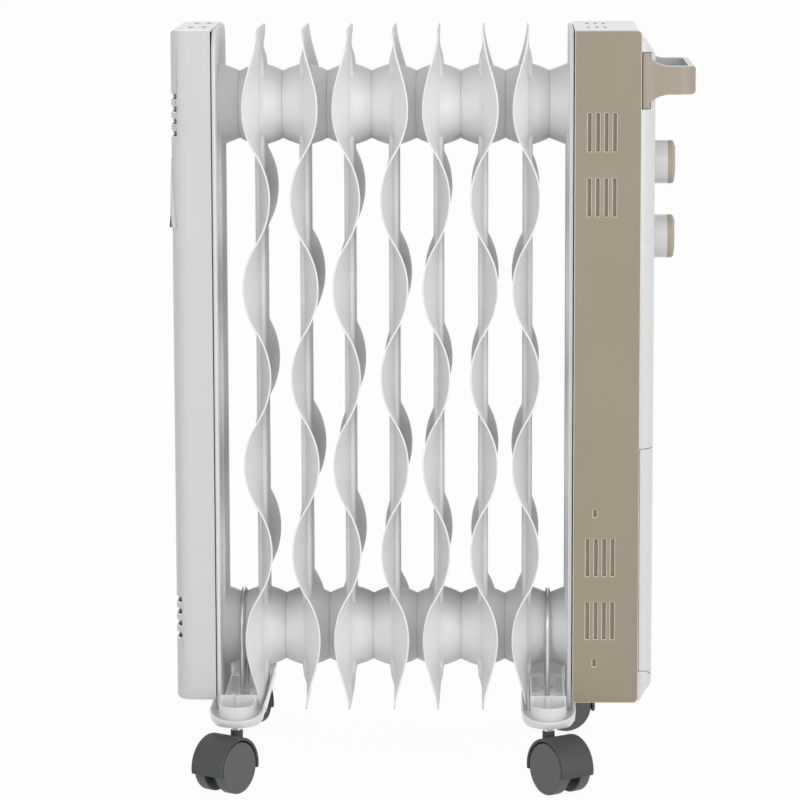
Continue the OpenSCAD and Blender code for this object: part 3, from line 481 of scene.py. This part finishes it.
class FinShape:
    """Sizes of a wavy fin, in part read from the solids."""

    half_waves = 6
    reach = 12.0 * MM        # how far the rim swings to its side at a crest
    back_reach = 9.6 * MM    # and to the other side
    tail_len = 64.0 * MM     # length over which the swing runs out past the headers
    bend = 0.16              # share of the sheet's depth that bends out of its root
    root = 24.0 * MM         # depth at which the sheet starts to swing out
    root_flat = 0.9          # share of that depth that the sheet's middle columns span
    hub_clear = 4.0 * MM     # flat ring of sheet round a header
    top_r = 18.0 * MM        # rounded corners
    low_r = 6.0 * MM
    channel_x = 4.0 * MM     # half the oil channel's thickness
    channel_y = 25.0 * MM    # half its depth
    channel_r = 2.6 * MM     # its rounded corners
    # the channel's ends: millimetres past a header's axis, and share of its full thickness
    channel_end = ((52, 0.12), (46, 0.3), (38, 0.8), (30, 1.0), (0, 1.0))
    channel_kept = 0.55      # share of its depth that would be left at no thickness
    seam_r = 0.55 * MM       # rolled line beside the channel
    seam_out = 0.1 * MM      # how far its middle lies outside the channel
    seam_past = 26.0 * MM    # how far it runs past the headers' axes
    hub_r = 34.0 * MM        # header cone at the sheet
    weld_r = 27.3 * MM       # and at its weld
    # flare at the cone's foot: millimetres along it, and extra radius
    hub_flare = ((0.0, 5.2), (0.5, 3.7), (1.2, 2.5), (2.2, 1.45), (3.4, 0.6), (4.2, 0.25))
    hub_bulge = 0.5 * MM     # how far the cone's side swells
    hub_side_end = 0.6 * MM  # how far before the weld the side ends
    # the weld's narrow groove: millimetres before the weld, and radius past the weld's
    weld_groove = ((0.25, 0.1), (0.0, -0.35))
    corner_steps = 8         # rows of points at a rounded corner
    row_steps = 170          # between the corners
    column_steps = 14        # columns from the root to the edge
    hub_segments = 72

    def __init__(self):
        low, high = node_box("end_fin_left")
        self.z0, self.z1 = low.z, high.z
        self.half_depth = high.y
        self.pitch = node_mid("fin_3").x - node_mid("fin_2").x
        self.first_x = node_mid("fin_2").x - self.pitch
        self.hub_lo = node_mid("element_flange").z
        self.hub_hi = node_mid("oil_plug").z
        self.span = self.hub_hi - self.hub_lo
        self.half_wave = self.span / self.half_waves
        self.swing = (self.reach + self.back_reach) / 2
        self.wave_r = (self.half_wave ** 2 / 4 + self.swing ** 2) / (2 * self.swing)

    def tail(self, d):
        """Sideways place of the edge at a distance past a header."""
        if d >= self.tail_len:
            return 0.0
        return self.reach * (1 + math.cos(math.pi * d / self.tail_len)) / 2

    def wave(self, z):
        """Sideways place of the edge at a height."""
        h = z - self.hub_lo
        if h < 0:
            return self.tail(-h)
        if h > self.span:
            return self.tail(h - self.span)
        k = round(h / self.half_wave)
        s = h - k * self.half_wave
        drop = self.wave_r - math.sqrt(max(self.wave_r ** 2 - s * s, 0.0))
        side = 1 if k % 2 == 0 else -1
        return self.reach - self.swing + side * (self.swing - drop)

    @staticmethod
    def corner_back(d, r):
        """How far a rounded corner draws the edge in, at a distance from the fin's end."""
        return 0.0 if d >= r else r - math.sqrt(max(r * r - (r - d) ** 2, 0.0))

    def edge(self, z):
        """Depth of the fin's edge at a height, drawn in at its rounded corners."""
        return (self.half_depth - self.corner_back(z - self.z0, self.low_r)
                - self.corner_back(self.z1 - z, self.top_r))

    def rise(self, t):
        """Sideways share at t from the root, 0, to the edge, 1: straight after a small bend."""
        bend = self.bend
        k = 1 / (1 - bend / 2)
        return k * t * t / (2 * bend) if t < bend else k * (t - bend / 2)

    def rows(self):
        """Heights of the sheet's rows of points, closer together at the rounded corners."""
        zs = set()
        for k in range(self.corner_steps + 1):
            share = 1 - math.cos(math.radians(90 * k / self.corner_steps))
            zs.add(round(self.z0 + self.low_r * share, 7))
            zs.add(round(self.z1 - self.top_r * share, 7))
        low, high = self.z0 + self.low_r, self.z1 - self.top_r
        zs.update(round(low + (high - low) * k / self.row_steps, 7)
                  for k in range(1, self.row_steps))
        return sorted(zs)

    def root_at(self, z):
        """Depth at which the sheet starts to swing out, past the header or the channel."""
        off = min(abs(z - self.hub_lo), abs(z - self.hub_hi))
        clear = self.hub_r + self.hub_clear
        return max(self.root, math.sqrt(max(clear ** 2 - off ** 2, 0.0)))

    def columns(self):
        """Places across the depth, as (side, share).

        On a side, share runs from 0 at the root to 1 at the edge. In the middle it runs from
        -1 to 1 between the roots.
        """
        outer = [k / self.column_steps for k in range(self.column_steps + 1)]
        return ([(-1, t) for t in reversed(outer)] + [(0, t) for t in (-1, 0, 1)]
                + [(1, t) for t in outer])

    def sheet_point(self, x0, direction, z, side, share):
        """Place on the sheet's middle surface."""
        edge, root = self.edge(z), self.root_at(z)
        if side == 0:
            return Vector((x0, share * root * self.root_flat, z))
        y = root + (edge - root) * share
        return Vector((x0 + direction * self.wave(z) * self.rise(share), side * y, z))


def fin_sheet(bm, fin, x0, direction, thickness):
    """The pair of pressed sheets as one thin solid, whose rim faces carry the second material, a
    painted highlight.
    """
    rows, columns = fin.rows(), fin.columns()
    last_row, last_col = len(rows) - 1, len(columns) - 1
    grid = [[fin.sheet_point(x0, direction, z, s, t) for s, t in columns] for z in rows]
    sides = []
    for sign in (-1, 1):
        layer = []
        for i, row in enumerate(grid):
            line = []
            for j, p in enumerate(row):
                dz = grid[min(i + 1, last_row)][j] - grid[max(i - 1, 0)][j]
                dy = row[min(j + 1, last_col)] - row[max(j - 1, 0)]
                n = dy.cross(dz)
                n = n.normalized() if n.length > TINY else ALONG_ROW
                line.append(bm.verts.new(p + n * (sign * thickness / 2)))
            layer.append(line)
        sides.append(layer)
    for sign, layer in zip((-1, 1), sides):
        for i in range(last_row):
            for j in range(last_col):
                quad = (layer[i][j], layer[i][j + 1], layer[i + 1][j + 1], layer[i + 1][j])
                bm.faces.new(quad if sign > 0 else tuple(reversed(quad)))
    ring = ([(0, j) for j in range(last_col)] + [(i, last_col) for i in range(last_row)]
            + [(last_row, j) for j in range(last_col, 0, -1)]
            + [(i, 0) for i in range(last_row, 0, -1)])
    back, front = sides
    for (a, b), (c, d) in zip(ring, ring[1:] + ring[:1]):
        face = bm.faces.new((back[a][b], back[c][d], front[c][d], front[a][b]))
        # the rim faces take the painted highlight
        face.material_index = 1


def rounded_rectangle(half_x, half_y, radius, steps=5):
    """Outline of a rounded rectangle about the origin, as (x, y) points."""
    points = []
    for sx, sy, start in ((1, 1, 0), (-1, 1, 90), (-1, -1, 180), (1, -1, 270)):
        cx, cy = sx * (half_x - radius), sy * (half_y - radius)
        for k in range(steps + 1):
            a = math.radians(start + 90 * k / steps)
            points.append((cx + radius * math.cos(a), cy + radius * math.sin(a)))
    return points


def oil_channel(bm, fin, x0):
    """Upright channel between the headers, with its ends drawn in towards the sheet."""
    stations = ([(fin.hub_lo - past * MM, share) for past, share in fin.channel_end]
                + [(fin.hub_hi + past * MM, share) for past, share in reversed(fin.channel_end)])
    outlines = []
    for z, share in stations:
        thick = fin.channel_x * share
        depth = fin.channel_y * (fin.channel_kept + (1 - fin.channel_kept) * share)
        outline = rounded_rectangle(thick, depth, min(fin.channel_r, thick * 0.9))
        outlines.append([(x0 + x, y, z) for x, y in outline])
    loft(bm, outlines)


def seam_beads(bm, fin, x0):
    """Narrow rolled lines where the two sheets part round the oil channel."""
    low, high = fin.hub_lo - fin.seam_past, fin.hub_hi + fin.seam_past
    for side in (-1, 1):
        y = side * (fin.channel_y + fin.seam_out)
        rod(bm, Vector((x0, y, low)), Vector((x0, y, high)), fin.seam_r)


def hub_profile(fin, length, direction):
    """Half a header section from the fin's sheet to the weld, as (along, radius) points."""
    slope = (fin.hub_r - fin.weld_r) / length
    points = [(0.0, 0.0)]
    points += [(x * MM, fin.hub_r - slope * x * MM + extra * MM) for x, extra in fin.hub_flare]
    flare_end, steps = points[-1][0], 5
    side = length - flare_end
    for k in range(1, steps + 1):
        x = flare_end + (side - fin.hub_side_end) * k / steps
        bulge = fin.hub_bulge * math.sin(math.pi * (x - flare_end) / side)
        points.append((x, fin.hub_r - slope * x + bulge))
    points += [(length - x * MM, fin.weld_r + extra * MM) for x, extra in fin.weld_groove]
    points.append((length, 0.0))
    return [(direction * along, radius) for along, radius in points]


def build_wavy_fin(fin, index):
    """Sheet, oil channel and both header sections of one fin."""
    node = f"fin_{index}"
    low, high = node_box(node)
    x0 = fin.first_x + (index - 1) * fin.pitch
    direction = -1 if index % 2 else 1
    bm = bmesh.new()
    fin_sheet(bm, fin, x0, direction, bpy.context.scene.heater_look.sheet_thickness)
    oil_channel(bm, fin, x0)
    seam_beads(bm, fin, x0)
    for z in (fin.hub_lo, fin.hub_hi):
        for length, way in ((high.x - x0, 1), (x0 - low.x, -1)):
            lathe(bm, hub_profile(fin, length, way), Vector((x0, 0, z)), ALONG_ROW,
                  fin.hub_segments, material_index=2)
    obj = object_from_bmesh(f"wavy_fin_{index}", bm, smooth_angle=32.0)
    # the rims get a lighter copy of the enamel as a painted highlight, the headers a darker copy
    # as painted shade
    paint(obj, finish("enamel"), finish("enamel edge"), finish("header enamel"))
    place(obj, "heater", "fin_paint", node)


# ---------------------------------------------------------------------------
# Sheets behind the slots: black painted shade in the vents, and taupe screens behind the side
# panels' slots
# ---------------------------------------------------------------------------


def build_slot_sheet(name, bm, slot, finish_name):
    """A dark sheet behind slots, which stands for no solid."""
    slot_sheet = object_from_bmesh(name, bm, smooth_angle=20.0)
    paint(slot_sheet, finish(finish_name))
    place(slot_sheet, "heater", slot)


def cover_shade_sheets():
    """Black sheets of painted shade close behind the end cover's edge slots and under its top
    slots.
    """
    low, high = node_box("end_cover")
    wall, radius = 2.2 * MM, 14.0 * MM  # the cover's own
    gap, thick = 0.5 * MM, 0.8 * MM
    flat_y, steps = 26 * MM, 8          # where the bent sheets end, and the steps of their bend
    edge_slots = ((high.z - 92 * MM, high.z - 46 * MM), (low.z + 44 * MM, low.z + 90 * MM))
    top_slots = ((low.x + 6 * MM, high.x - 3 * MM), (low.y + 8 * MM, high.y - 8 * MM))
    bm = bmesh.new()
    for z0, z1 in edge_slots:
        for side in (-1, 1):
            x, y = low.x + radius, side * (high.y - radius)
            strips = []
            for r in (radius - wall - gap, radius - wall - gap - thick):
                arc = [(x - r * math.cos(a), y + side * r * math.sin(a))
                       for a in (math.radians(90 * k / steps) for k in range(steps + 1))]
                strips.append([(arc[0][0], side * flat_y)] + arc)
            prism(bm, strips[0] + strips[1][::-1], z0, z1)
    block(bm, *top_slots, (high.z - wall - gap - thick, high.z - wall - gap))
    build_slot_sheet("end_cover_shade_sheets", bm, "black_plastic", "control black")


def housing_top_shade_sheet():
    """Black sheet of painted shade under the slots in the housing's top."""
    low, high = node_box("housing_frame")
    slots = ((low.x + 4 * MM, low.x + 34 * MM), (low.y + 6 * MM, high.y - 6 * MM))
    bm = bmesh.new()
    block(bm, *slots, (high.z - 3.5 * MM, high.z - 2.7 * MM))
    build_slot_sheet("housing_top_shade_sheet", bm, "black_plastic", "control black")


def slot_screens(node, name):
    """Dark screens behind a side panel's upper and lower groups of slots."""
    low, high = node_box(node)
    inner, inward = (low.y, -1) if low.y > 0 else (high.y, 1)
    gap, thick = 0.02 * MM, 0.78 * MM
    slot_groups = ((low.z + 28 * MM, low.z + 178 * MM), (high.z - 152 * MM, high.z - 60 * MM))
    bm = bmesh.new()
    for z in slot_groups:
        block(bm, (low.x + 9 * MM, low.x + 36 * MM),
              (inner + inward * gap, inner + inward * (gap + thick)), z)
    build_slot_sheet(name, bm, "taupe_plastic", "slot screen")


# ---------------------------------------------------------------------------
# Stage
# ---------------------------------------------------------------------------

SOFT_LIGHT = (0.97, 0.985, 1.0, 1.0)
FADE_RANGE = (-0.1, 0.7)  # Y of a direction, where the front's light fades to the back's
FLOOR_HALF = 30.0
FLOOR_GREY = (0.92, 0.92, 0.92, 1.0)
LAMP_AIM = Vector((0, 0, 0.3))
LAMPS = (  # name, place, width and height, and share of the key lamp's power
    ("key", (2.3, -2.4, 0.9), (1.6, 1.8), 1.0),
    ("fill", (-2.2, -2.6, 0.8), (1.6, 1.8), 0.45),
    ("front", (0.2, -3.8, 1.7), (2.4, 1.2), 0.3),
)
CAMERA_PLACE = (0.05563, -3.1053, 0.7754)
CAMERA_YAW, CAMERA_PITCH, CAMERA_ROLL = 0.02676, 0.15187, -0.002486  # in radians
CAMERA_LENS = 172.52
CAMERA_SENSOR = 36.0


def seen_directly(tree):
    """1 for rays that show the surface or its reflection, 0 for rays that light the object."""
    path = add_node(tree, "LightPath").outputs
    seen = path["Is Camera Ray"]
    for ray in ("Is Glossy Ray", "Is Transmission Ray"):
        seen = add_node(tree, "Math", {0: seen, 1: path[ray]}, operation="MAXIMUM").outputs[0]
    return seen


def build_surroundings(scene):
    """Soft light, weaker from behind, and plain white where the surroundings are seen."""
    look = scene.heater_look
    world = bpy.data.worlds.new("surroundings")
    world.use_nodes = True
    scene.world = world
    tree = world.node_tree
    tree.nodes.clear()
    towards = add_node(tree, "TexCoord").outputs["Generated"]
    split = add_node(tree, "SeparateXYZ", {0: towards})
    fade = add_range(tree, split.outputs["Y"], FADE_RANGE, (look.soft_front, look.soft_back))
    soft = add_node(tree, "Background", {"Color": SOFT_LIGHT, "Strength": fade})
    plain_white = add_node(tree, "Background", {"Color": (1, 1, 1, 1), "Strength": 1.0})
    mix = add_node(tree, "MixShader", {
        0: seen_directly(tree), 1: soft.outputs[0], 2: plain_white.outputs[0],
    })
    add_node(tree, "OutputWorld", {0: mix.outputs[0]})


def build_floor(look):
    """Floor that keeps the shadows and otherwise shows nearly plain white."""
    bm = bmesh.new()
    half = FLOOR_HALF
    corners = ((-half, -half, 0), (half, -half, 0), (half, half, 0), (-half, half, 0))
    bm.faces.new([bm.verts.new(p) for p in corners])
    floor = object_from_bmesh("floor", bm)
    mat = bpy.data.materials.new("floor white")
    mat.use_nodes = True
    tree = mat.node_tree
    tree.nodes.clear()
    matt = add_node(tree, "BsdfDiffuse", {"Color": FLOOR_GREY})
    white = add_node(tree, "Emission", {"Strength": 1.0})
    share = add_node(tree, "Math", {0: seen_directly(tree), 1: look.floor_tone},
                     operation="MULTIPLY")
    mix = add_node(tree, "MixShader", {
        0: share.outputs[0], 1: matt.outputs[0], 2: white.outputs[0],
    })
    add_node(tree, "OutputMaterial", {0: mix.outputs[0]})
    paint(floor, mat)


def build_lamps(look):
    """Soft lamps, each turned to the object."""
    for name, spot, size, share in LAMPS:
        lamp = bpy.data.lights.new(name, "AREA")
        lamp.shape = "RECTANGLE"
        lamp.size, lamp.size_y = size
        lamp.energy = look.key_power * share
        obj = linked_object(name, lamp)
        obj.location = spot
        ahead = LAMP_AIM - Vector(spot)
        obj.rotation_euler = ahead.to_track_quat("-Z", "Y").to_euler()


def build_camera(scene):
    """Camera in front of the heater and a little above it."""
    yaw, pitch, roll = CAMERA_YAW, CAMERA_PITCH, CAMERA_ROLL
    ahead = Vector((-math.sin(yaw) * math.cos(pitch), math.cos(yaw) * math.cos(pitch),
                    -math.sin(pitch)))
    right = Vector((math.cos(yaw), math.sin(yaw), 0.0))
    up = right.cross(ahead)
    right_rolled = right * math.cos(roll) + up * math.sin(roll)
    up_rolled = up * math.cos(roll) - right * math.sin(roll)
    turn = Matrix((right_rolled, up_rolled, -ahead)).transposed().to_4x4()
    lens = bpy.data.cameras.new("camera")
    lens.sensor_width = CAMERA_SENSOR
    lens.lens = CAMERA_LENS
    lens.clip_end = 100.0
    camera = linked_object("camera", lens)
    camera.matrix_world = Matrix.Translation(CAMERA_PLACE) @ turn
    scene.camera = camera


# ---------------------------------------------------------------------------
# Panel properties
# ---------------------------------------------------------------------------


def colour_property(name, description, default):
    """A colour setting."""
    return bpy.props.FloatVectorProperty(name=name, description=description, default=default,
                                         size=3, subtype="COLOR", min=0.0, max=1.0)


class HeaterLook(bpy.types.PropertyGroup):
    """Colours, sizes and lights of the heater's finish"""

    enamel: colour_property(
        "Enamel", "Powder coat of the fins", (0.705, 0.705, 0.702))
    # Painted shade: the fins' enamel made darker on the headers, which lie in shade between the
    # fins
    header_enamel: colour_property(
        "Header enamel", "Powder coat of the headers between the fins", (0.61, 0.61, 0.608))
    # Painted highlight: a lighter copy of the fins' enamel on their thin rims
    enamel_edge: colour_property(
        "Enamel edge", "Powder coat on the fins' rolled rims", (0.86, 0.86, 0.855))
    cover: colour_property(
        "End cover", "Moulded end cover", (0.52, 0.522, 0.519))
    # Painted highlight: the upward faces of the end cover and the housing, lighter than their
    # sides because the light falls from above
    cover_top: colour_property(
        "Tops", "Upward faces of the end cover and the housing", (0.95, 0.95, 0.935))
    front_white: colour_property(
        "Front white", "Gloss white front, chassis and handle rims", (0.575, 0.57, 0.568))
    taupe: colour_property(
        "Taupe", "Side panels", (0.268, 0.222, 0.162))
    # Painted highlight: a lighter copy of the taupe on the side panels' rounded edges and slot
    # rims
    taupe_edge: colour_property(
        "Taupe edge", "Rounded edges of the side panels and their slots", (0.62, 0.56, 0.48))
    taupe_cap: colour_property(
        "Knob caps", "Caps of the control knobs", (0.36, 0.305, 0.235))
    slot_screen: colour_property(
        "Slot screen", "Screens behind the vent slots", (0.30, 0.26, 0.20))
    handle_taupe: colour_property(
        "Handle taupe", "Outer skin of the handle", (0.315, 0.262, 0.204))
    # Painted shade: the white liner of the handle painted grey-green where the hand opening is in
    # shade
    handle_inside: colour_property(
        "Handle inside", "Inner half of the handle", (0.43, 0.45, 0.42))
    foot_white: colour_property(
        "Foot white", "Gloss white foot brackets", (0.49, 0.49, 0.485))
    caster_grey: colour_property(
        "Caster grey", "Hoods of the casters", (0.038, 0.043, 0.043))
    wheel_grey: colour_property(
        "Wheel grey", "Wheels of the casters", (0.08, 0.081, 0.08))
    zinc: colour_property(
        "Zinc", "Plated screws, plug, element and hinge pin", (0.5, 0.5, 0.5))
    bright_steel: colour_property(
        "Bright steel", "U-bolts, wing nuts, caster stems and axles", (0.74, 0.74, 0.735))
    # The controls' black, also used as painted shade: black sheets behind the vent slots and the
    # wheels' inner sides
    control_black: colour_property(
        "Control black", "Controls, liners and the wheels' inner sides", (0.03, 0.03, 0.032))
    # Painted light: the feet shine with a little light of their own, which brightens them where
    # they lie in shade
    foot_painted_glow: bpy.props.FloatProperty(
        name="Foot glow", description="Light that the feet's thin plastic lets through",
        default=0.12, min=0.0, soft_max=1.0)
    sheet_thickness: bpy.props.FloatProperty(
        name="Sheet thickness", description="Thickness of a fin at its rim",
        default=0.0012, min=0.0008, max=0.0024, unit="LENGTH")
    floor_tone: bpy.props.FloatProperty(
        name="Floor tone", description="Share of plain white in the floor",
        default=0.95, min=0.0, max=1.0, subtype="FACTOR")
    soft_front: bpy.props.FloatProperty(
        name="Soft light, front", description="Surrounding light from the front half",
        default=0.9, min=0.0, soft_max=3.0)
    soft_back: bpy.props.FloatProperty(
        name="Soft light, back", description="Surrounding light from behind",
        default=0.35, min=0.0, soft_max=3.0)
    key_power: bpy.props.FloatProperty(
        name="Key power", description="Strength of the main soft lamp",
        default=38.0, min=0.0, soft_max=400.0)


# ---------------------------------------------------------------------------
# Operators
# ---------------------------------------------------------------------------


class HEATER_OT_stage(bpy.types.Operator):
    """Floor, lamps, surroundings and camera"""

    bl_idname = "heater.stage"
    bl_label = "Stage"

    def execute(self, context):
        scene = context.scene
        scene.view_settings.view_transform = "Standard"
        build_surroundings(scene)
        build_floor(scene.heater_look)
        build_lamps(scene.heater_look)
        build_camera(scene)
        return {"FINISHED"}


class HEATER_OT_fins(bpy.types.Operator):
    """Wavy fins with their headers, and the flat end fins"""

    bl_idname = "heater.fins"
    bl_label = "Fins"

    def execute(self, context):
        fin = FinShape()
        for index in range(1, FIN_COUNT + 1):
            build_wavy_fin(fin, index)
        for node, name in (("end_fin_left", "end_fin_plain"),
                           ("end_fin_right", "end_fin_heater_side")):
            rounded_piece(node, name, "heater", "fin_paint", "enamel", width=0.55, angle=30.0)
        return {"FINISHED"}


class HEATER_OT_end_cover(bpy.types.Operator):
    """End cover with its grip"""

    bl_idname = "heater.end_cover"
    bl_label = "End cover"

    def execute(self, context):
        # the cover's upward faces get a painted highlight
        rounded_piece("end_cover", "end_cover_shell", "heater", "cover_grey", "cover",
                      width=0.9, top="cover top")
        rounded_piece("cover_grip", "end_cover_grip", "heater", "cover_grey", "cover", width=0.6)
        cover_shade_sheets()
        return {"FINISHED"}


class HEATER_OT_housing(bpy.types.Operator):
    """Chassis, side panels, the sheets behind their slots and the cord tray"""

    bl_idname = "heater.housing"
    bl_label = "Control housing"

    def execute(self, context):
        # the chassis' upward faces get a painted highlight
        rounded_piece("housing_frame", "housing_chassis", "heater", "white_plastic",
                      "front white", width=0.4, top="cover top")
        for side in ("front", "back"):
            node, name = f"side_panel_{side}", f"{side}_side_panel"
            # the panels' rounded edges and slot rims get a painted highlight
            rounded_piece(node, name, "heater", "taupe_plastic", "taupe", "taupe edge")
            slot_screens(node, f"{name}_screen")
        housing_top_shade_sheet()
        rounded_piece("cord_tray", "cord_tray_shell", "heater", "white_plastic", "front white")
        return {"FINISHED"}


class HEATER_OT_front(bpy.types.Operator):
    """Front panel, cord door, its hinge pin and the bottom cap"""

    bl_idname = "heater.front"
    bl_label = "Front and cord door"

    def execute(self, context):
        for node, name, body in (("front_panel", "front_shell", "heater"),
                                 ("cord_door", "cord_door_shell", "door"),
                                 ("bottom_cap", "bottom_cap_shell", "heater")):
            rounded_piece(node, name, body, "white_plastic", "front white", width=0.45)
        paint(NODES["door_hinge_pin"], finish("zinc"))
        return {"FINISHED"}


class HEATER_OT_handle(bpy.types.Operator):
    """Loop handle"""

    bl_idname = "heater.handle"
    bl_label = "Handle"

    def execute(self, context):
        rounded_piece("handle_shell", "handle_skin", "heater", "taupe_plastic", "handle taupe",
                      width=0.15, top="front white")
        # the liner's walls get painted shade and its upward faces stay white
        rounded_piece("handle_liner", "handle_inner", "heater", "white_plastic",
                      "handle inside", width=0.15, top="front white")
        return {"FINISHED"}


class HEATER_OT_knobs(bpy.types.Operator):
    """Two control knobs and the controls in the housing"""

    bl_idname = "heater.knobs"
    bl_label = "Knobs"

    def execute(self, context):
        for kind in ("thermostat", "power"):
            body = f"{kind}_knob"
            rounded_piece(f"{kind}_skirt", f"{kind}_knob_skirt", body, "white_plastic",
                          "front white")
            rounded_piece(f"{kind}_cap", f"{kind}_knob_cap", body, "taupe_plastic", "taupe cap",
                          width=0.35, angle=50.0)
        for node in ("thermostat", "power_switch", "thermal_cutout", "terminal_block",
                     "cord_gland"):
            paint(NODES[node], finish("control black"))
        return {"FINISHED"}


class HEATER_OT_feet(bpy.types.Operator):
    """Foot brackets with their ribs"""

    bl_idname = "heater.feet"
    bl_label = "Feet"

    def execute(self, context):
        for side in ("left", "right"):
            rounded_piece(f"foot_{side}", f"foot_{side}_trough", "heater", "foot_white",
                          "foot white", width=0.7)
        return {"FINISHED"}


class HEATER_OT_casters(bpy.types.Operator):
    """Casters: hoods, stems, axles and wheels"""

    bl_idname = "heater.casters"
    bl_label = "Casters"

    def execute(self, context):
        for corner in CASTERS:
            rounded_piece(f"hood_{corner}", f"caster_hood_{corner}", f"caster_{corner}",
                          "caster_grey", "caster grey", width=0.8)
            for own, other in ("ab", "ba"):
                node = f"wheel_{own}_{corner}"
                wheel = rounded_piece(node, f"caster_{node}", node, "wheel_grey", "wheel grey",
                                      width=0.4)
                # the wheels' inner sides, which face each other in shadow, are painted black:
                # painted shade
                across = node_mid(f"wheel_{other}_{corner}") - node_mid(node)
                paint_facing(wheel, finish("control black"), across.normalized())
            paint(NODES[f"pins_{corner}"], finish("bright steel"))
        return {"FINISHED"}


class HEATER_OT_hardware(bpy.types.Operator):
    """U-bolts, wing nuts, screws and the parts inside the headers"""

    bl_idname = "heater.hardware"
    bl_label = "Hardware"

    def execute(self, context):
        rounded_piece("u_bolts", "u_bolt_rods", "heater", "bright_steel", "bright steel",
                      width=0.25)
        rounded_piece("wing_nuts", "wing_nut_set", "heater", "bright_steel", "bright steel",
                      width=0.35)
        for node in ("heating_element", "element_flange", "oil_plug", "cover_screws",
                     "housing_screws"):
            paint(NODES[node], finish("zinc"))
        return {"FINISHED"}


class HEATER_PT_panel(bpy.types.Panel):
    """Sidebar panel with the heater's settings and build steps"""

    bl_label = "Radiator heater"
    bl_idname = "HEATER_PT_panel"
    bl_space_type = "VIEW_3D"
    bl_region_type = "UI"
    bl_category = "Heater"

    def draw(self, context):
        look = context.scene.heater_look
        for name in look.__annotations__:
            self.layout.prop(look, name)
        for operator in OPERATORS:
            self.layout.operator(operator.bl_idname)


OPERATORS = (
    HEATER_OT_stage,
    HEATER_OT_fins,
    HEATER_OT_end_cover,
    HEATER_OT_housing,
    HEATER_OT_front,
    HEATER_OT_handle,
    HEATER_OT_knobs,
    HEATER_OT_feet,
    HEATER_OT_casters,
    HEATER_OT_hardware,
)
CLASSES = (HeaterLook, *OPERATORS, HEATER_PT_panel)


def register():
    for cls in CLASSES:
        bpy.utils.register_class(cls)
    bpy.types.Scene.heater_look = bpy.props.PointerProperty(type=HeaterLook)


def unregister():
    del bpy.types.Scene.heater_look
    for cls in reversed(CLASSES):
        bpy.utils.unregister_class(cls)


def main():
    """Build the heater and its stage."""
    register()
    bpy.ops.heater.stage()
    bpy.ops.heater.fins()
    bpy.ops.heater.end_cover()
    bpy.ops.heater.housing()
    bpy.ops.heater.front()
    bpy.ops.heater.handle()
    bpy.ops.heater.knobs()
    bpy.ops.heater.feet()
    bpy.ops.heater.casters()
    bpy.ops.heater.hardware()


if __name__ == "__main__":
    main()
